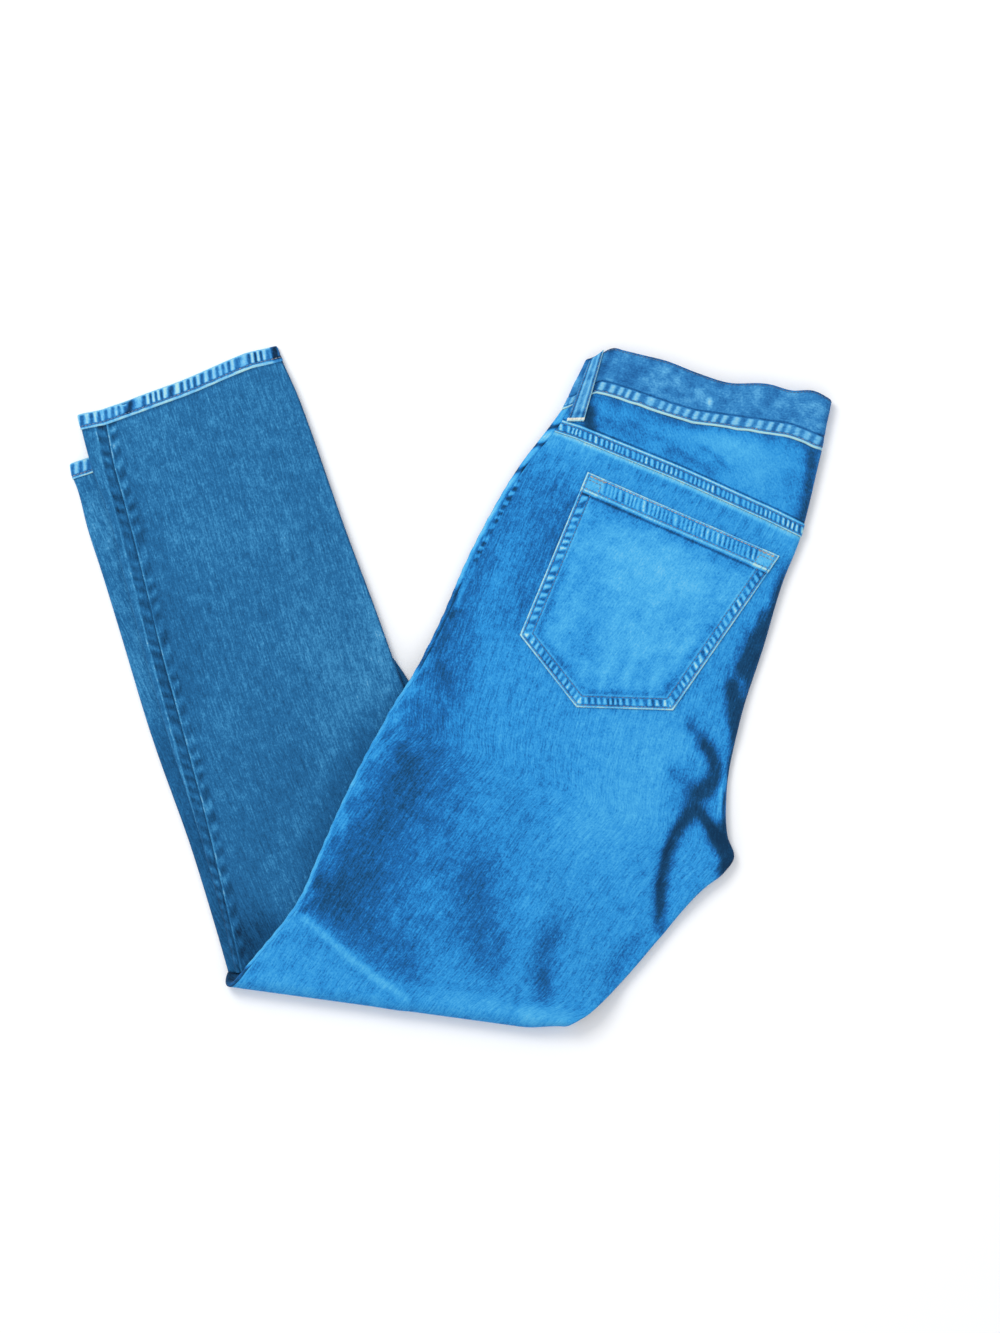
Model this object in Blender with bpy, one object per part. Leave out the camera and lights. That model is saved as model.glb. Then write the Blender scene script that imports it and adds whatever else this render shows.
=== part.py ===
"""Slim jeans laid down folded: once in half along the rise, one back outward, then once at the knees.

The layers from the floor up are the two lower legs, then the two thighs with the seat on top.
Lengths are millimetres until a mesh is made. X and Y lie on the floor and Z is up.
"""

import math

import bmesh
import bpy
import numpy as np

MM = 0.001

# Cloth and stack
CLOTH = 1.5  # one layer of denim with its loft
GAP = 0.3  # between neighbouring pieces
BAND_GAP = 0.7  # at a waistband's or hem's edge, whose seam curves
LEG = 5.0  # one flattened leg: two layers and the air between them
STACK = 2 * LEG + GAP  # two legs, one on the other
SUPPORT = STACK + GAP  # height of the thighs' underside where they lie on the lower legs
UNDER = CLOTH + GAP  # depth of the hidden layers below an outer face
FOLD_CLOSED = 0.97  # the lower thigh's fold is this much of its half of the height
TUCKED_REACH = 0.92  # the lower thigh's outseam fold reaches this share of the way to the edge
TUCKED_SHARE = 0.47  # and is this share of the height

# Bands and sewn-on pieces
HEM_HEIGHT = 11.0
HEM_WALL = 2.3  # three plies
HEM_PROUD = 0.8  # how far the upper hem stands above its leg
HEM_DROP = 24.0  # the upper leg sinks to the floor over this length at its hem
WAIST_STACK = 13.0  # four waistband layers
WAIST_WALL = 2.4
FRONT_SHORT = 4.0  # the fronts' fold stops this far short of the backs'
WAIST_SWELL = 2.2  # extra height of the seat just below the waistband
WAIST_SWELL_REACH = 60.0
FELL_WIDTH = 11.0  # felled yoke seam
FELL_LIFT = 0.8
POCKET_CLOTH = 1.5
POCKET_HEM = 15.0
POCKET_HEM_LIFT = 0.7
LOOP_CLOTH = 2.0
LOOP_RISE = 2.0  # how far the loop arches off the waistband
LOOP_ON_YOKE = 0.8  # share of the loop's length where it passes on to the yoke

# Where the thighs come off the lower legs, they sink to the floor over this width
DROP_START = (-28.0, 2.0)
DROP_END = (105.0, -257.0)
DROP_WIDTH = 44.0

# The knee fold turns round a line at half the height of the whole pile
PIVOT_HEIGHT = SUPPORT - GAP / 2
KNEE_REACH = (-6.4, -10.2)  # how far the fold bulges past its last flat section, in X and Y
KNEE_SPREAD = (-10.0, 0.8)  # the under leg's left edge lies this far from the thigh's

# Sections of the thighs and seat, from the waist seam to the last one before the knee fold.
# Left is the outseam side. The rises bend a section towards the waist at 12, 50 and 85 % of it.
SECTION_COLUMNS = ("left_x", "left_y", "right_x", "right_y", "rise_12", "rise_50", "rise_85", "outseam_in")
THIGH_SECTIONS = {
    "waist_seam": (88, 220, 296, 188, 17, 8, 8, 6),
    "yoke_seam": (85, 204, 278, 126, 10, 10, 6, 6),
    "hip": (54, 175, 266, 86, 6, 7, 5, 6),
    "seat": (18, 112, 250, 33, 2, 3, 2, 6),
    "low_seat": (-10, 49, 230, -31, 0, 0, 0, 6),
    "rise_end": (-31, 8, 219, -87, 0, 0, 0, 6),
    "crotch": (-50, -22, 224, -136, 0, 0, 0, 6),
    "inseam_top": (-61, -42, 202, -161, 0, 0, 0, 6),
    "thigh": (-85, -89, 167, -200, 0, 0, 0, 6),
    "mid_thigh": (-106, -136, 134, -238, 0, 0, 0, 6),
    "above_knee": (-122, -171, 113, -256, 0, 0, 0, 6),
    "knee": (-168, -229, 96, -262, 0, 0, 0, 6),
}
# The lower leg that shows, from its hem down to the knee
UPPER_CALF_SECTIONS = {
    "hem": (-297, 214, -140, 272, 0, 1, 3.5, 20),
    "hem_seam": (-294, 203, -135, 261, 0, 1, 3.5, 20),
    "above_ankle": (-286, 173, -122, 232, 0, 0, 1, 18),
    "low_calf": (-274, 140, -106, 188, 0, 0, 0, 15),
    "calf": (-261, 89, -85, 128, 0, 0, 0, 15),
    "high_calf": (-246, 31, -60, 61, 0, 0, 0, 14),
    "notch": (-228, -32, -37, -1, 0, 0, 0, 13),
    "below_knee": (-205, -103, 2, -79, 0, 0, 0, 9),
    "knee_side": (-185, -171, 46, -165, 0, 0, 0, 5),
    "knee": (-171, -228, 95, -260, 0, 0, 0, 4),
}
# The lower leg beneath it
UNDER_CALF_SECTIONS = {
    "hem": (-304, 178, -151, 229, 0, 0, 2, 4),
    "hem_seam": (-302, 167, -146, 219, 0, 0, 2, 4),
    "above_ankle": (-299, 159, -141, 207, 0, 0, 0, 4),
    "low_calf": (-290, 125, -121, 160, 0, 0, 0, 4),
    "calf": (-279, 91, -101, 113, 0, 0, 0, 4),
    "high_calf": (-264, 42, -72, 58, 0, 0, 0, 4),
    "notch": (-243, -28, -36, 8, 0, 0, 0, 4),
    "below_knee": (-206, -134, 22, -117, 0, 0, 0, 4),
    "knee_side": (-188, -193, 59, -191, 0, 0, 0, 4),
    "knee": (-178, -228, 96, -260, 0, 0, 0, 4),
}

# The waistband's upper edge, as rises above a straight line between its ends
WAIST_TOP_ENDS = ((108, 260), (304, 228))
WAIST_TOP = {
    "across": (0.00, 0.10, 0.30, 0.45, 0.57, 0.74, 0.83, 0.92, 1.00),
    "rise": (0.0, 12.5, 10.0, 4.0, 0.5, 4.5, 2.5, 5.0, 0.0),
}

# Patch pocket corners on the seat
POCKET = {
    "outer_top": (106, 172),
    "inner_top": (261, 105),
    "outer_low": (56, 43),
    "point": (102, -17),
    "inner_low": (177, -19),
}

# Belt loop corners: its upper end, then its lower end on the yoke
LOOP = {"top_left": (110, 259), "top_right": (122, 268), "low_left": (92, 211), "low_right": (106, 211)}

# The largest folds in the top layer: start, middle and end, half width, and height, which is
# negative for a trough
FOLD_COLUMNS = ("start", "middle", "end", "half_width", "height")
FOLDS = (
    ((193, -92), (176, -140), (165, -196), 9, -3.8),
    ((190, -30), (215, -56), (196, -92), 10, -3.4),
    ((202, -97), (212, -118), (222, -132), 8, -3.0),
    ((226, -98), (205, -150), (180, -170), 12, 1.8),
    ((243, 52), (230, 10), (218, -20), 13, -2.2),
    ((-122, -174), (-79, -210), (-33, -243), 8, 2.4),
    ((-100, -166), (-68, -190), (-30, -220), 15, -2.2),
    ((8, -160), (24, -195), (44, -226), 16, -2.0),
    ((86, -196), (75, -225), (73, -248), 9, -2.4),
    ((146, -205), (134, -220), (124, -238), 9, -1.6),
    ((60, -120), (70, -170), (60, -225), 22, 1.4),
)

FOLD_ENDS = 0.25  # a fold's height at its ends, as a share of its height in the middle

# How finely each piece is divided, and how far its rolls turn, in degrees
ROLL_TURNS = (22.5, 45.0, 67.5, 90.0)
LOWER_TURNS = (112.5, 135.0, 157.5)
CALF_RIM_TURNS = (27.0, 54.0, 81.0)  # the calf's front stops short of its back at the inseam
HEM_TURNS = (36.0, 72.0, 108.0, 144.0)
UPPER_LEG_TURNS = (0.0, 30.0, 60.0, 90.0)  # lower half of the upper thigh's inseam fold
LOWER_LEG_TURNS = (0.0, 60.0, 90.0, 135.0, 180.0)  # inseam fold of the thigh below it
TUCKED_TURNS = (0.0, 45.0, 90.0, 135.0, 180.0)  # outseam fold of the thigh below
FRONT_TURN = 150.0  # the front panel goes this far round the outseam edge
THIGH_COLUMNS = 18
EDGE_IN = 6.0  # near an edge, the floor's height is read this far inside it
THIGH_ROWS = 22
KNEE_TURNS = 8
WAIST_COLUMN_COUNT = 15
CALF_COLUMNS = 11
CALF_ROWS = 15
HEM_ROWS = (9.0, 18.0, 27.0)  # extra rows just above a hem
POCKET_COLUMNS = 13
POCKET_ROWS = 8

DENIM = (0.05, 0.24, 0.52)
DENIM_PALE = (0.08, 0.34, 0.64)
DENIM_DEEP = (0.03, 0.15, 0.34)
DENIM_CALF = (0.045, 0.19, 0.38)


def curve_through(knots, rows, at):
    """A smooth curve through rows that stand at the given knots, read at the places in at."""
    knots, rows, at = (np.asarray(v, float) for v in (knots, rows, at))
    slopes = np.gradient(rows, knots, axis=0)
    k = np.clip(np.searchsorted(knots, at, side="right") - 1, 0, len(knots) - 2)
    step = knots[k + 1] - knots[k]
    t = (at - knots[k]) / step
    if rows.ndim > 1:
        t, step = t[:, None], step[:, None]
    return (
        (2 * t**3 - 3 * t**2 + 1) * rows[k]
        + (t**3 - 2 * t**2 + t) * step * slopes[k]
        + (3 * t**2 - 2 * t**3) * rows[k + 1]
        + (t**3 - t**2) * step * slopes[k + 1]
    )


def ease(t):
    """Goes smoothly from 0 to 1 as t does."""
    t = np.clip(t, 0.0, 1.0)
    return t * t * (3 - 2 * t)


def distances(sections):
    """How far along the garment each named section lies, by the middles of the sections."""
    rows = np.array(list(sections.values()), float)
    middles = (rows[:, 0:2] + rows[:, 2:4]) / 2
    steps = np.linalg.norm(np.diff(middles, axis=0), axis=1)
    return dict(zip(sections, np.concatenate([[0.0], np.cumsum(steps)])))


def sections_at(sections, along):
    """The table's columns at the distances in along, as a dict of arrays."""
    rows = np.array(list(sections.values()), float)
    read = curve_through(list(distances(sections).values()), rows, np.asarray(along, float))
    return dict(zip(SECTION_COLUMNS, read.T))


def place(section, lateral):
    """Floor points of every section row at lateral distances (rows, columns) from its left end.

    Past either end a section goes straight on.
    """
    left = np.stack([section["left_x"], section["left_y"]], -1)
    chord = np.stack([section["right_x"], section["right_y"]], -1) - left
    width = np.linalg.norm(chord, axis=1)
    ahead = chord / width[:, None]
    up = np.stack([-ahead[:, 1], ahead[:, 0]], -1)
    share = np.clip(lateral / width[:, None], 0, 1)
    rise = np.stack([
        curve_through((0, 0.12, 0.5, 0.85, 1), (0, a, b, c, 0), row)
        for a, b, c, row in zip(section["rise_12"], section["rise_50"], section["rise_85"], share)
    ])
    return left[:, None] + ahead[:, None] * lateral[..., None] + up[:, None] * rise[..., None]


def widths(section):
    """Straight width of each section row."""
    return np.hypot(section["right_x"] - section["left_x"], section["right_y"] - section["left_y"])


def fold_height(xy):
    """Height that the folds add at floor points."""
    height = np.zeros(xy.shape[:-1])
    t = np.linspace(0, 1, 13)
    for row in FOLDS:
        fold = dict(zip(FOLD_COLUMNS, row))
        a, b, c = (np.array(fold[name], float) for name in ("start", "middle", "end"))
        through = 2 * b - (a + c) / 2
        line = ((1 - t) ** 2)[:, None] * a + (2 * t * (1 - t))[:, None] * through + (t**2)[:, None] * c
        away = np.linalg.norm(xy[..., None, :] - line, axis=-1)
        taper = FOLD_ENDS + (1 - FOLD_ENDS) * np.sin(math.pi * t)
        height += fold["height"] * np.max(taper * np.exp(-((away / fold["half_width"]) ** 2)), axis=-1)
    return height


def thigh_floor(xy):
    """Height of the thighs' underside: on the lower legs, and sinking to the floor beside them."""
    start, end = np.array(DROP_START), np.array(DROP_END)
    run = (end - start) / np.linalg.norm(end - start)
    beside = (xy[..., 0] - start[0]) * -run[1] + (xy[..., 1] - start[1]) * run[0]
    return SUPPORT * (1 - ease(beside / DROP_WIDTH))


def thigh_thickness(xy):
    """Height of the four thigh layers, which swell just below the waistband."""
    ax, ay, bx, by = THIGH_SECTIONS["waist_seam"][:4]
    below = ((xy[..., 0] - ax) * (by - ay) - (xy[..., 1] - ay) * (bx - ax)) / math.hypot(bx - ax, by - ay)
    return STACK + WAIST_SWELL * (1 - ease(below / WAIST_SWELL_REACH))


def thigh_top(xy):
    """Height of the thighs' top face at floor points, before it rolls over an edge."""
    return thigh_floor(xy) + thigh_thickness(xy) + fold_height(xy)


def stops(*groups):
    """Joins groups of columns. A column is (strip share, main share, left turn, right turn, side)."""
    return np.array([column for group in groups for column in group], float)


def strip_stops(shares):
    return [(s, 0, 0, 0, 1) for s in shares]


def main_stops(shares):
    return [(1, s, 0, 0, 1) for s in shares]


def left_turns(angles):
    return [(0, 0, a, 0, 1) for a in angles]


def right_turns(angles):
    return [(1, 1, 0, a, 1) for a in angles]


def bottom_stops(shares):
    return [(0, s, 0, 0, -1) for s in shares]


def bottom_right_turns(angles):
    return [(0, 1, 0, a, -1) for a in angles]


def sheet(section, columns, left_radius, right_radius, top, bottom, depth, nudge=0.0):
    """Points of a folded layer, (rows, columns, 3), lying depth inside the outermost face.

    A layer runs flat between the two edges and rolls round each with that edge's radius.
    """
    strip, main, left_turn, right_turn, side = (columns[:, i][None] for i in range(5))
    left_turn, right_turn = np.radians(left_turn), np.radians(right_turn)
    width = widths(section)[:, None]
    start = left_radius[:, None]
    inset = start + (section["outseam_in"][:, None] - start) * strip
    flat = inset + main * (width - inset - right_radius[:, None]) + nudge
    depth = np.broadcast_to(np.asarray(depth, float), (width.shape[0],))[:, None]
    radius = np.where(left_turn > 0, start, right_radius[:, None])
    turn = left_turn + right_turn
    out = (radius - depth) * np.sin(turn)
    lateral = flat + np.where(left_turn > 0, -out, out)
    flat_xy = place(section, np.clip(flat, 0, width))
    reach = radius - (radius - depth) * np.cos(turn)
    z = np.where(side > 0, top(flat_xy) - reach, bottom(flat_xy) + reach)
    return np.concatenate([place(section, lateral), z[..., None]], -1)


def round_the_knee(grid):
    """Adds rows that carry the last row of a grid round the knee fold and under itself."""
    last = grid[-1]
    left, _, right, _ = THIGH_SECTIONS["knee"][:4]
    across = np.clip((last[:, 0] - left) / (right - left), 0, 1)
    height = last[:, 2] - PIVOT_HEIGHT
    rows = []
    for turn in np.radians(np.linspace(0, 180, KNEE_TURNS + 1)[1:]):
        spread = (1 - math.cos(turn)) / 2 * (1 - across)
        swing = height / PIVOT_HEIGHT * math.sin(turn)
        rows.append(np.stack([
            last[:, 0] + KNEE_REACH[0] * swing + KNEE_SPREAD[0] * spread,
            last[:, 1] + KNEE_REACH[1] * swing + KNEE_SPREAD[1] * spread,
            np.maximum(PIVOT_HEIGHT + height * math.cos(turn), 0.0),
        ], -1))
    return np.concatenate([grid, np.array(rows)])


def thigh_edges(along):
    """Sections of the thighs with the radii of their left and right edges."""
    section = sections_at(THIGH_SECTIONS, along)
    at = distances(THIGH_SECTIONS)
    left = np.stack([section["left_x"], section["left_y"]], -1)
    right = np.stack([section["right_x"], section["right_y"]], -1)
    split = ease((np.asarray(along) - at["rise_end"]) / (at["inseam_top"] - at["rise_end"]))
    left_radius = thigh_thickness(left) / 4
    right_radius = thigh_thickness(right) * (0.5 - 0.25 * split)
    return section, left_radius, right_radius, split


def thigh_sheet(along, columns, depth, nudge=0.0):
    section, left_radius, right_radius, _ = thigh_edges(along)
    return sheet(section, columns, left_radius, right_radius, thigh_top, thigh_floor, depth, nudge)


def trimmed(grid, first=0.0, last=0.0):
    """The grid with its first and last rows drawn in, for the gap at a seam."""
    grid = grid.copy()
    for row, beside, cut in ((0, 1, first), (-1, -2, last)):
        step = grid[beside] - grid[row]
        grid[row] += step * cut / np.linalg.norm(step, axis=1, keepdims=True)
    return grid


def calf_floor(sections, lies_on):
    """The calf's underside: on the leg beneath it, and sinking to the floor at its hem."""
    hem = np.array([sections["hem"][0:2], sections["hem"][2:4]], float)
    run = (hem[1] - hem[0]) / np.linalg.norm(hem[1] - hem[0])

    def height(xy):
        below = (xy[..., 0] - hem[0, 0]) * run[1] - (xy[..., 1] - hem[0, 1]) * run[0]
        return lies_on * ease(below / HEM_DROP)

    return height


def calf_sheet(sections, along, columns, depth, lies_on, nudge=0.0):
    section = sections_at(sections, along)
    radius = np.full(len(along), LEG / 2)
    bottom = calf_floor(sections, lies_on)
    return sheet(section, columns, radius, radius, lambda xy: bottom(xy) + LEG, bottom, depth, nudge)


def grid_faces(rows, columns, start=0, closed=False):
    """Quads of a grid of points, whose columns close on themselves if closed."""
    last = columns if closed else columns - 1
    return [
        (
            start + r * columns + c,
            start + r * columns + (c + 1) % columns,
            start + (r + 1) * columns + (c + 1) % columns,
            start + (r + 1) * columns + c,
        )
        for r in range(rows - 1)
        for c in range(last)
    ]


def add_object(name, points, faces, color, roughness=0.9):
    """A closed mesh in metres with its own material."""
    mesh = bpy.data.meshes.new(name)
    mesh.from_pydata((np.asarray(points) * MM).tolist(), [], faces)
    bm = bmesh.new()
    bm.from_mesh(mesh)
    bmesh.ops.recalc_face_normals(bm, faces=bm.faces)
    bm.to_mesh(mesh)
    bm.free()
    mesh.shade_smooth()
    mesh.set_sharp_from_angle(angle=math.radians(40))
    material = bpy.data.materials.new(name)
    material.use_nodes = True
    shader = material.node_tree.nodes["Principled BSDF"]
    shader.inputs["Base Color"].default_value = (*color, 1.0)
    shader.inputs["Roughness"].default_value = roughness
    mesh.materials.append(material)
    made = bpy.data.objects.new(name, mesh)
    jeans.objects.link(made)
    return made


def add_wall(name, outer, inner, color):
    """A wall of cloth between an outer and an inner grid of points."""
    rows, columns = outer.shape[:2]
    count = rows * columns
    faces = grid_faces(rows, columns) + grid_faces(rows, columns, count)
    rim = (
        [r * columns for r in range(rows)]
        + [(rows - 1) * columns + c for c in range(1, columns)]
        + [r * columns + columns - 1 for r in range(rows - 2, -1, -1)]
        + list(range(columns - 2, 0, -1))
    )
    faces += [(a, b, b + count, a + count) for a, b in zip(rim, rim[1:] + rim[:1])]
    points = np.concatenate([outer.reshape(-1, 3), inner.reshape(-1, 3)])
    return add_object(name, points, faces, color)


def add_band(name, outer, inner, color):
    """A flattened tube, such as a hem: grids whose columns close on themselves."""
    rows, columns = outer.shape[:2]
    count = rows * columns
    faces = grid_faces(rows, columns, 0, True) + grid_faces(rows, columns, count, True)
    for row in (0, rows - 1):
        for c in range(columns):
            a, b = row * columns + c, row * columns + (c + 1) % columns
            faces.append((a, b, b + count, a + count))
    points = np.concatenate([outer.reshape(-1, 3), inner.reshape(-1, 3)])
    return add_object(name, points, faces, color)


def add_loft(name, rings, top, bottom, count, color):
    """A solid through closed rings, each with count columns from top on and as many from bottom on.

    Each end is closed by a face between every two columns, and one round each edge of the fold.
    """
    rows, columns = rings.shape[:2]
    faces = grid_faces(rows, columns, 0, True)
    for start in (0, (rows - 1) * columns):
        ring = [start + c for c in range(columns)]
        above = ring[top:top + count]
        below = ring[bottom:bottom + count][::-1]
        faces += list(zip(above[:-1], above[1:], below[1:], below[:-1]))
        faces.append(tuple(ring[top + count - 1:bottom + 1]))
        faces.append(tuple(ring[bottom + count - 1:] + ring[:top + 1]))
    return add_object(name, rings.reshape(-1, 3), faces, color)


def calf_rows(sections):
    """Rows of a lower leg, closer together where it leaves its hem."""
    at = distances(sections)
    near = [at["hem_seam"] + row for row in (0.0, *HEM_ROWS)]
    return near + list(np.linspace(near[-1], at["knee"], CALF_ROWS - len(HEM_ROWS)))[1:]


def main_shares(count):
    """Even shares of a section from 0 to 1."""
    return np.linspace(0, 1, count)


def make_yoke():
    """Yoke of the outward back, with the raised band of its felled seam."""
    at = distances(THIGH_SECTIONS)
    fell = at["yoke_seam"] - FELL_WIDTH
    along = [0.0, fell / 2, fell - 0.5, fell, at["yoke_seam"]]
    lift = np.array([0, 0, 0, FELL_LIFT, FELL_LIFT])
    columns = stops(main_stops(main_shares(THIGH_COLUMNS)), right_turns(ROLL_TURNS))
    skins = [
        trimmed(thigh_sheet(along, columns, depth, GAP / 2), GAP / 2, GAP / 2)
        for depth in (-lift, CLOTH)
    ]
    add_wall("yoke_right", *skins, DENIM)


def thigh_rows():
    """Even rows from the yoke seam down to the knee."""
    at = distances(THIGH_SECTIONS)
    return list(np.linspace(at["yoke_seam"], at["knee"], THIGH_ROWS))


def make_back():
    """Back panel of the outward leg: seat, thigh, and round the knee fold to the floor."""
    columns = stops(main_stops(main_shares(THIGH_COLUMNS)), right_turns(ROLL_TURNS))
    skins = [
        round_the_knee(trimmed(thigh_sheet(thigh_rows(), columns, depth, GAP / 2), GAP / 2))
        for depth in (0.0, CLOTH)
    ]
    add_wall("back_right", *skins, DENIM)


def make_front():
    """Front panel of the outward leg, where it shows: from the outseam round the left edge."""
    along = [0.0, distances(THIGH_SECTIONS)["yoke_seam"] / 2] + thigh_rows()
    columns = stops(
        strip_stops((1, 0.4, 0)),
        left_turns(ROLL_TURNS + (112.5, 131.0, FRONT_TURN)),
    )
    skins = [
        round_the_knee(trimmed(thigh_sheet(along, columns, depth, -GAP / 2), GAP / 2))
        for depth in (0.0, CLOTH)
    ]
    add_wall("front_right", *skins, DENIM_DEEP)


def make_hidden_layers():
    """The layers inside the thighs and seat as one rounded solid, stepped like cloth at its edges."""
    at = distances(THIGH_SECTIONS)
    fell = at["yoke_seam"] - FELL_WIDTH
    along = [0.0, fell / 2, fell - 0.5, fell] + thigh_rows()
    section, left_radius, right_radius, split = thigh_edges(along)
    width = widths(section)
    columns = stops(
        left_turns((FRONT_TURN, 112.5, 67.5, 22.5)),
        strip_stops((0.4,)),
        main_stops(main_shares(THIGH_COLUMNS)),
        right_turns((45.0, 90.0)),
    )
    upper = thigh_sheet(along, columns, UNDER)

    def ring_points(inset, height, share):
        """Points at insets from the right edge, and at shares of a height above the floor."""
        lateral = width[:, None] - np.stack(inset, 1)
        flat = place(section, np.clip(lateral, EDGE_IN, width[:, None] - EDGE_IN))
        z = thigh_floor(flat) + np.stack(share, 1) * height[:, None]
        return np.concatenate([place(section, lateral), z[..., None]], -1)

    # Right edge, from just under the back panel's rim to the floor. Above the crotch it is one
    # wide roll; below, it is the lower half of one leg's fold and the whole of the other's
    rim = thigh_sheet(along, stops(right_turns((90.0,))), 0.0)[:, 0]
    rim_height = rim[:, 2] - GAP - thigh_floor(place(section, width[:, None] - EDGE_IN))[:, 0]
    upper_leg, lower_leg = np.radians(UPPER_LEG_TURNS), np.radians(LOWER_LEG_TURNS)
    leg_inset = np.concatenate([1 - np.cos(upper_leg), 1 - np.sin(lower_leg)]) * STACK / 4
    leg_share = np.concatenate([3 - np.sin(upper_leg), FOLD_CLOSED * (1 + np.cos(lower_leg))]) / 3
    wide = np.linspace(0, math.pi / 2, len(leg_inset))
    wide_inset, wide_share = (1 - np.cos(wide)) * STACK / 2, 1 - np.sin(wide)
    insets = [w + (leg - w) * split for w, leg in zip(wide_inset, leg_inset)]
    shares = [w + (leg - w) * split for w, leg in zip(wide_share, leg_share)]
    right_side = ring_points([UNDER + 0 * width] + insets, rim_height, [1 + 0 * width] + shares)
    bottom = thigh_sheet(along, stops(bottom_stops(main_shares(THIGH_COLUMNS)[::-1])), 0.0)

    # Left edge: the fold of the leg that lies below, tucked under the front panel's rim
    thickness = thigh_thickness(np.stack([section["left_x"], section["left_y"]], -1))
    insets, shares = [], []
    for turn in np.radians(TUCKED_TURNS):
        insets.append(width - left_radius * (1 - TUCKED_REACH * math.sin(turn)))
        shares.append(TUCKED_SHARE * (1 - math.cos(turn)) / 2 + 0 * width)
    left_side = ring_points(insets, thickness, shares)
    rings = round_the_knee(trimmed(np.concatenate([upper, right_side, bottom, left_side], 1), GAP / 2))
    top = upper.shape[1] - THIGH_COLUMNS - 2
    add_loft("inner_layers", rings, top, upper.shape[1] + right_side.shape[1], THIGH_COLUMNS, DENIM_DEEP)


def waistband_edges(shares):
    """Floor points of the waistband's upper edge and of its seam at shares of its width."""
    start, end = (np.array(p, float) for p in WAIST_TOP_ENDS)
    ahead = (end - start) / np.linalg.norm(end - start)
    up = np.array([-ahead[1], ahead[0]])
    rise = curve_through(WAIST_TOP["across"], WAIST_TOP["rise"], np.clip(shares, 0, 1))
    top = start + (end - start) * shares[:, None] + up * rise[:, None]
    seam = sections_at(THIGH_SECTIONS, [0.0])
    return top, place(seam, shares[None] * widths(seam))[0]


def waistband_path(width, columns):
    """Middle of the folded waistband in section, with its normals, as one closed line.

    From the outward back round the centre-back fold to the back below, round a side to the front
    below, round the centre-front fold inside, and round the other side to where it began.
    """
    height = WAIST_STACK - WAIST_WALL
    low, step = WAIST_WALL / 2, height / 3
    level = [low + step * k for k in range(4)]
    back_radius, fold_radius = height / 2, step / 2
    left, back_right = low + fold_radius, width - low - back_radius
    front_right = back_right - FRONT_SHORT
    points, normals = [], []

    def straight(start, end, z, side):
        for x in np.linspace(start, end, columns):
            points.append((x, z))
            normals.append((0.0, side))

    def turn(x, z, radius, start, sweep, side, count):
        for angle in np.radians(np.linspace(start, start + sweep, count + 2)[1:-1]):
            points.append((x + radius * math.cos(angle), z + radius * math.sin(angle)))
            normals.append((side * math.cos(angle), side * math.sin(angle)))

    straight(left, back_right, level[3], 1)
    turn(back_right, level[0] + back_radius, back_radius, 90, -180, 1, 7)
    straight(back_right, left, level[0], -1)
    turn(left, level[0] + fold_radius, fold_radius, 270, -180, 1, 3)
    straight(left, front_right, level[1], 1)
    turn(front_right, level[1] + fold_radius, fold_radius, -90, 180, -1, 3)
    straight(front_right, left, level[2], -1)
    turn(left, level[2] + fold_radius, fold_radius, 270, -180, 1, 3)
    return np.array(points), np.array(normals)


def make_waistband():
    """The whole waistband, folded in four layers, open at its upper edge."""
    (ax, ay), (bx, by) = WAIST_TOP_ENDS
    width = math.hypot(bx - ax, by - ay)
    path, normals = waistband_path(width, WAIST_COLUMN_COUNT)
    skins = []
    for offset in (WAIST_WALL / 2, -WAIST_WALL / 2):
        line = path + normals * offset
        top, seam = waistband_edges(line[:, 0] / width)
        grid = [np.concatenate([top + (seam - top) * down, line[:, 1:]], 1) for down in (0, 0.5, 1)]
        skins.append(trimmed(np.array(grid), 0.0, BAND_GAP))
    add_band("waistband", skins[0], skins[1], DENIM)


def make_pocket():
    """Patch pocket on the seat, lying on the back panel's own points, with a thicker hem."""
    corner = {name: np.array(p, float) for name, p in POCKET.items()}
    across = np.linspace(0, 1, POCKET_COLUMNS)
    hem = POCKET_HEM / np.linalg.norm(corner["outer_low"] - corner["outer_top"])
    below_hem = hem + 0.5 / np.linalg.norm(corner["outer_low"] - corner["outer_top"])
    down = np.concatenate([[0, hem], np.linspace(below_hem, 1, POCKET_ROWS)])
    top = corner["outer_top"] + across[:, None] * (corner["inner_top"] - corner["outer_top"])
    low = np.where(
        across[:, None] < 0.5,
        corner["outer_low"] + 2 * across[:, None] * (corner["point"] - corner["outer_low"]),
        corner["point"] + (2 * across[:, None] - 1) * (corner["inner_low"] - corner["point"]),
    )
    xy = top[None] + down[:, None, None] * (low - top)[None]
    seat = thigh_top(xy)
    lift = np.where(down <= hem, POCKET_HEM_LIFT, 0.0)[:, None]
    outer = np.concatenate([xy, (seat + GAP + POCKET_CLOTH + lift)[..., None]], -1)
    inner = np.concatenate([xy, (seat + GAP)[..., None]], -1)
    add_wall("back_pocket_right", outer, inner, DENIM_PALE)


def make_loop():
    """Belt loop at the side, held at both ends and arched off the waistband between them."""
    corner = {name: np.array(p, float) for name, p in LOOP.items()}
    down = np.linspace(0, 1, 9)[:, None, None]
    across = np.linspace(0, 1, 4)[None, :, None]
    top = corner["top_left"] + across * (corner["top_right"] - corner["top_left"])
    low = corner["low_left"] + across * (corner["low_right"] - corner["low_left"])
    xy = top + down * (low - top)
    seat = WAIST_STACK + FELL_LIFT * ease((down[..., 0] - LOOP_ON_YOKE) / (1 - LOOP_ON_YOKE))
    z = seat + GAP + LOOP_RISE * np.sin(math.pi * down[..., 0]) + 0 * xy[..., 0]
    outer = np.concatenate([xy, (z + LOOP_CLOTH)[..., None]], -1)
    inner = np.concatenate([xy, z[..., None]], -1)
    add_wall("belt_loop", outer, inner, DENIM)


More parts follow.
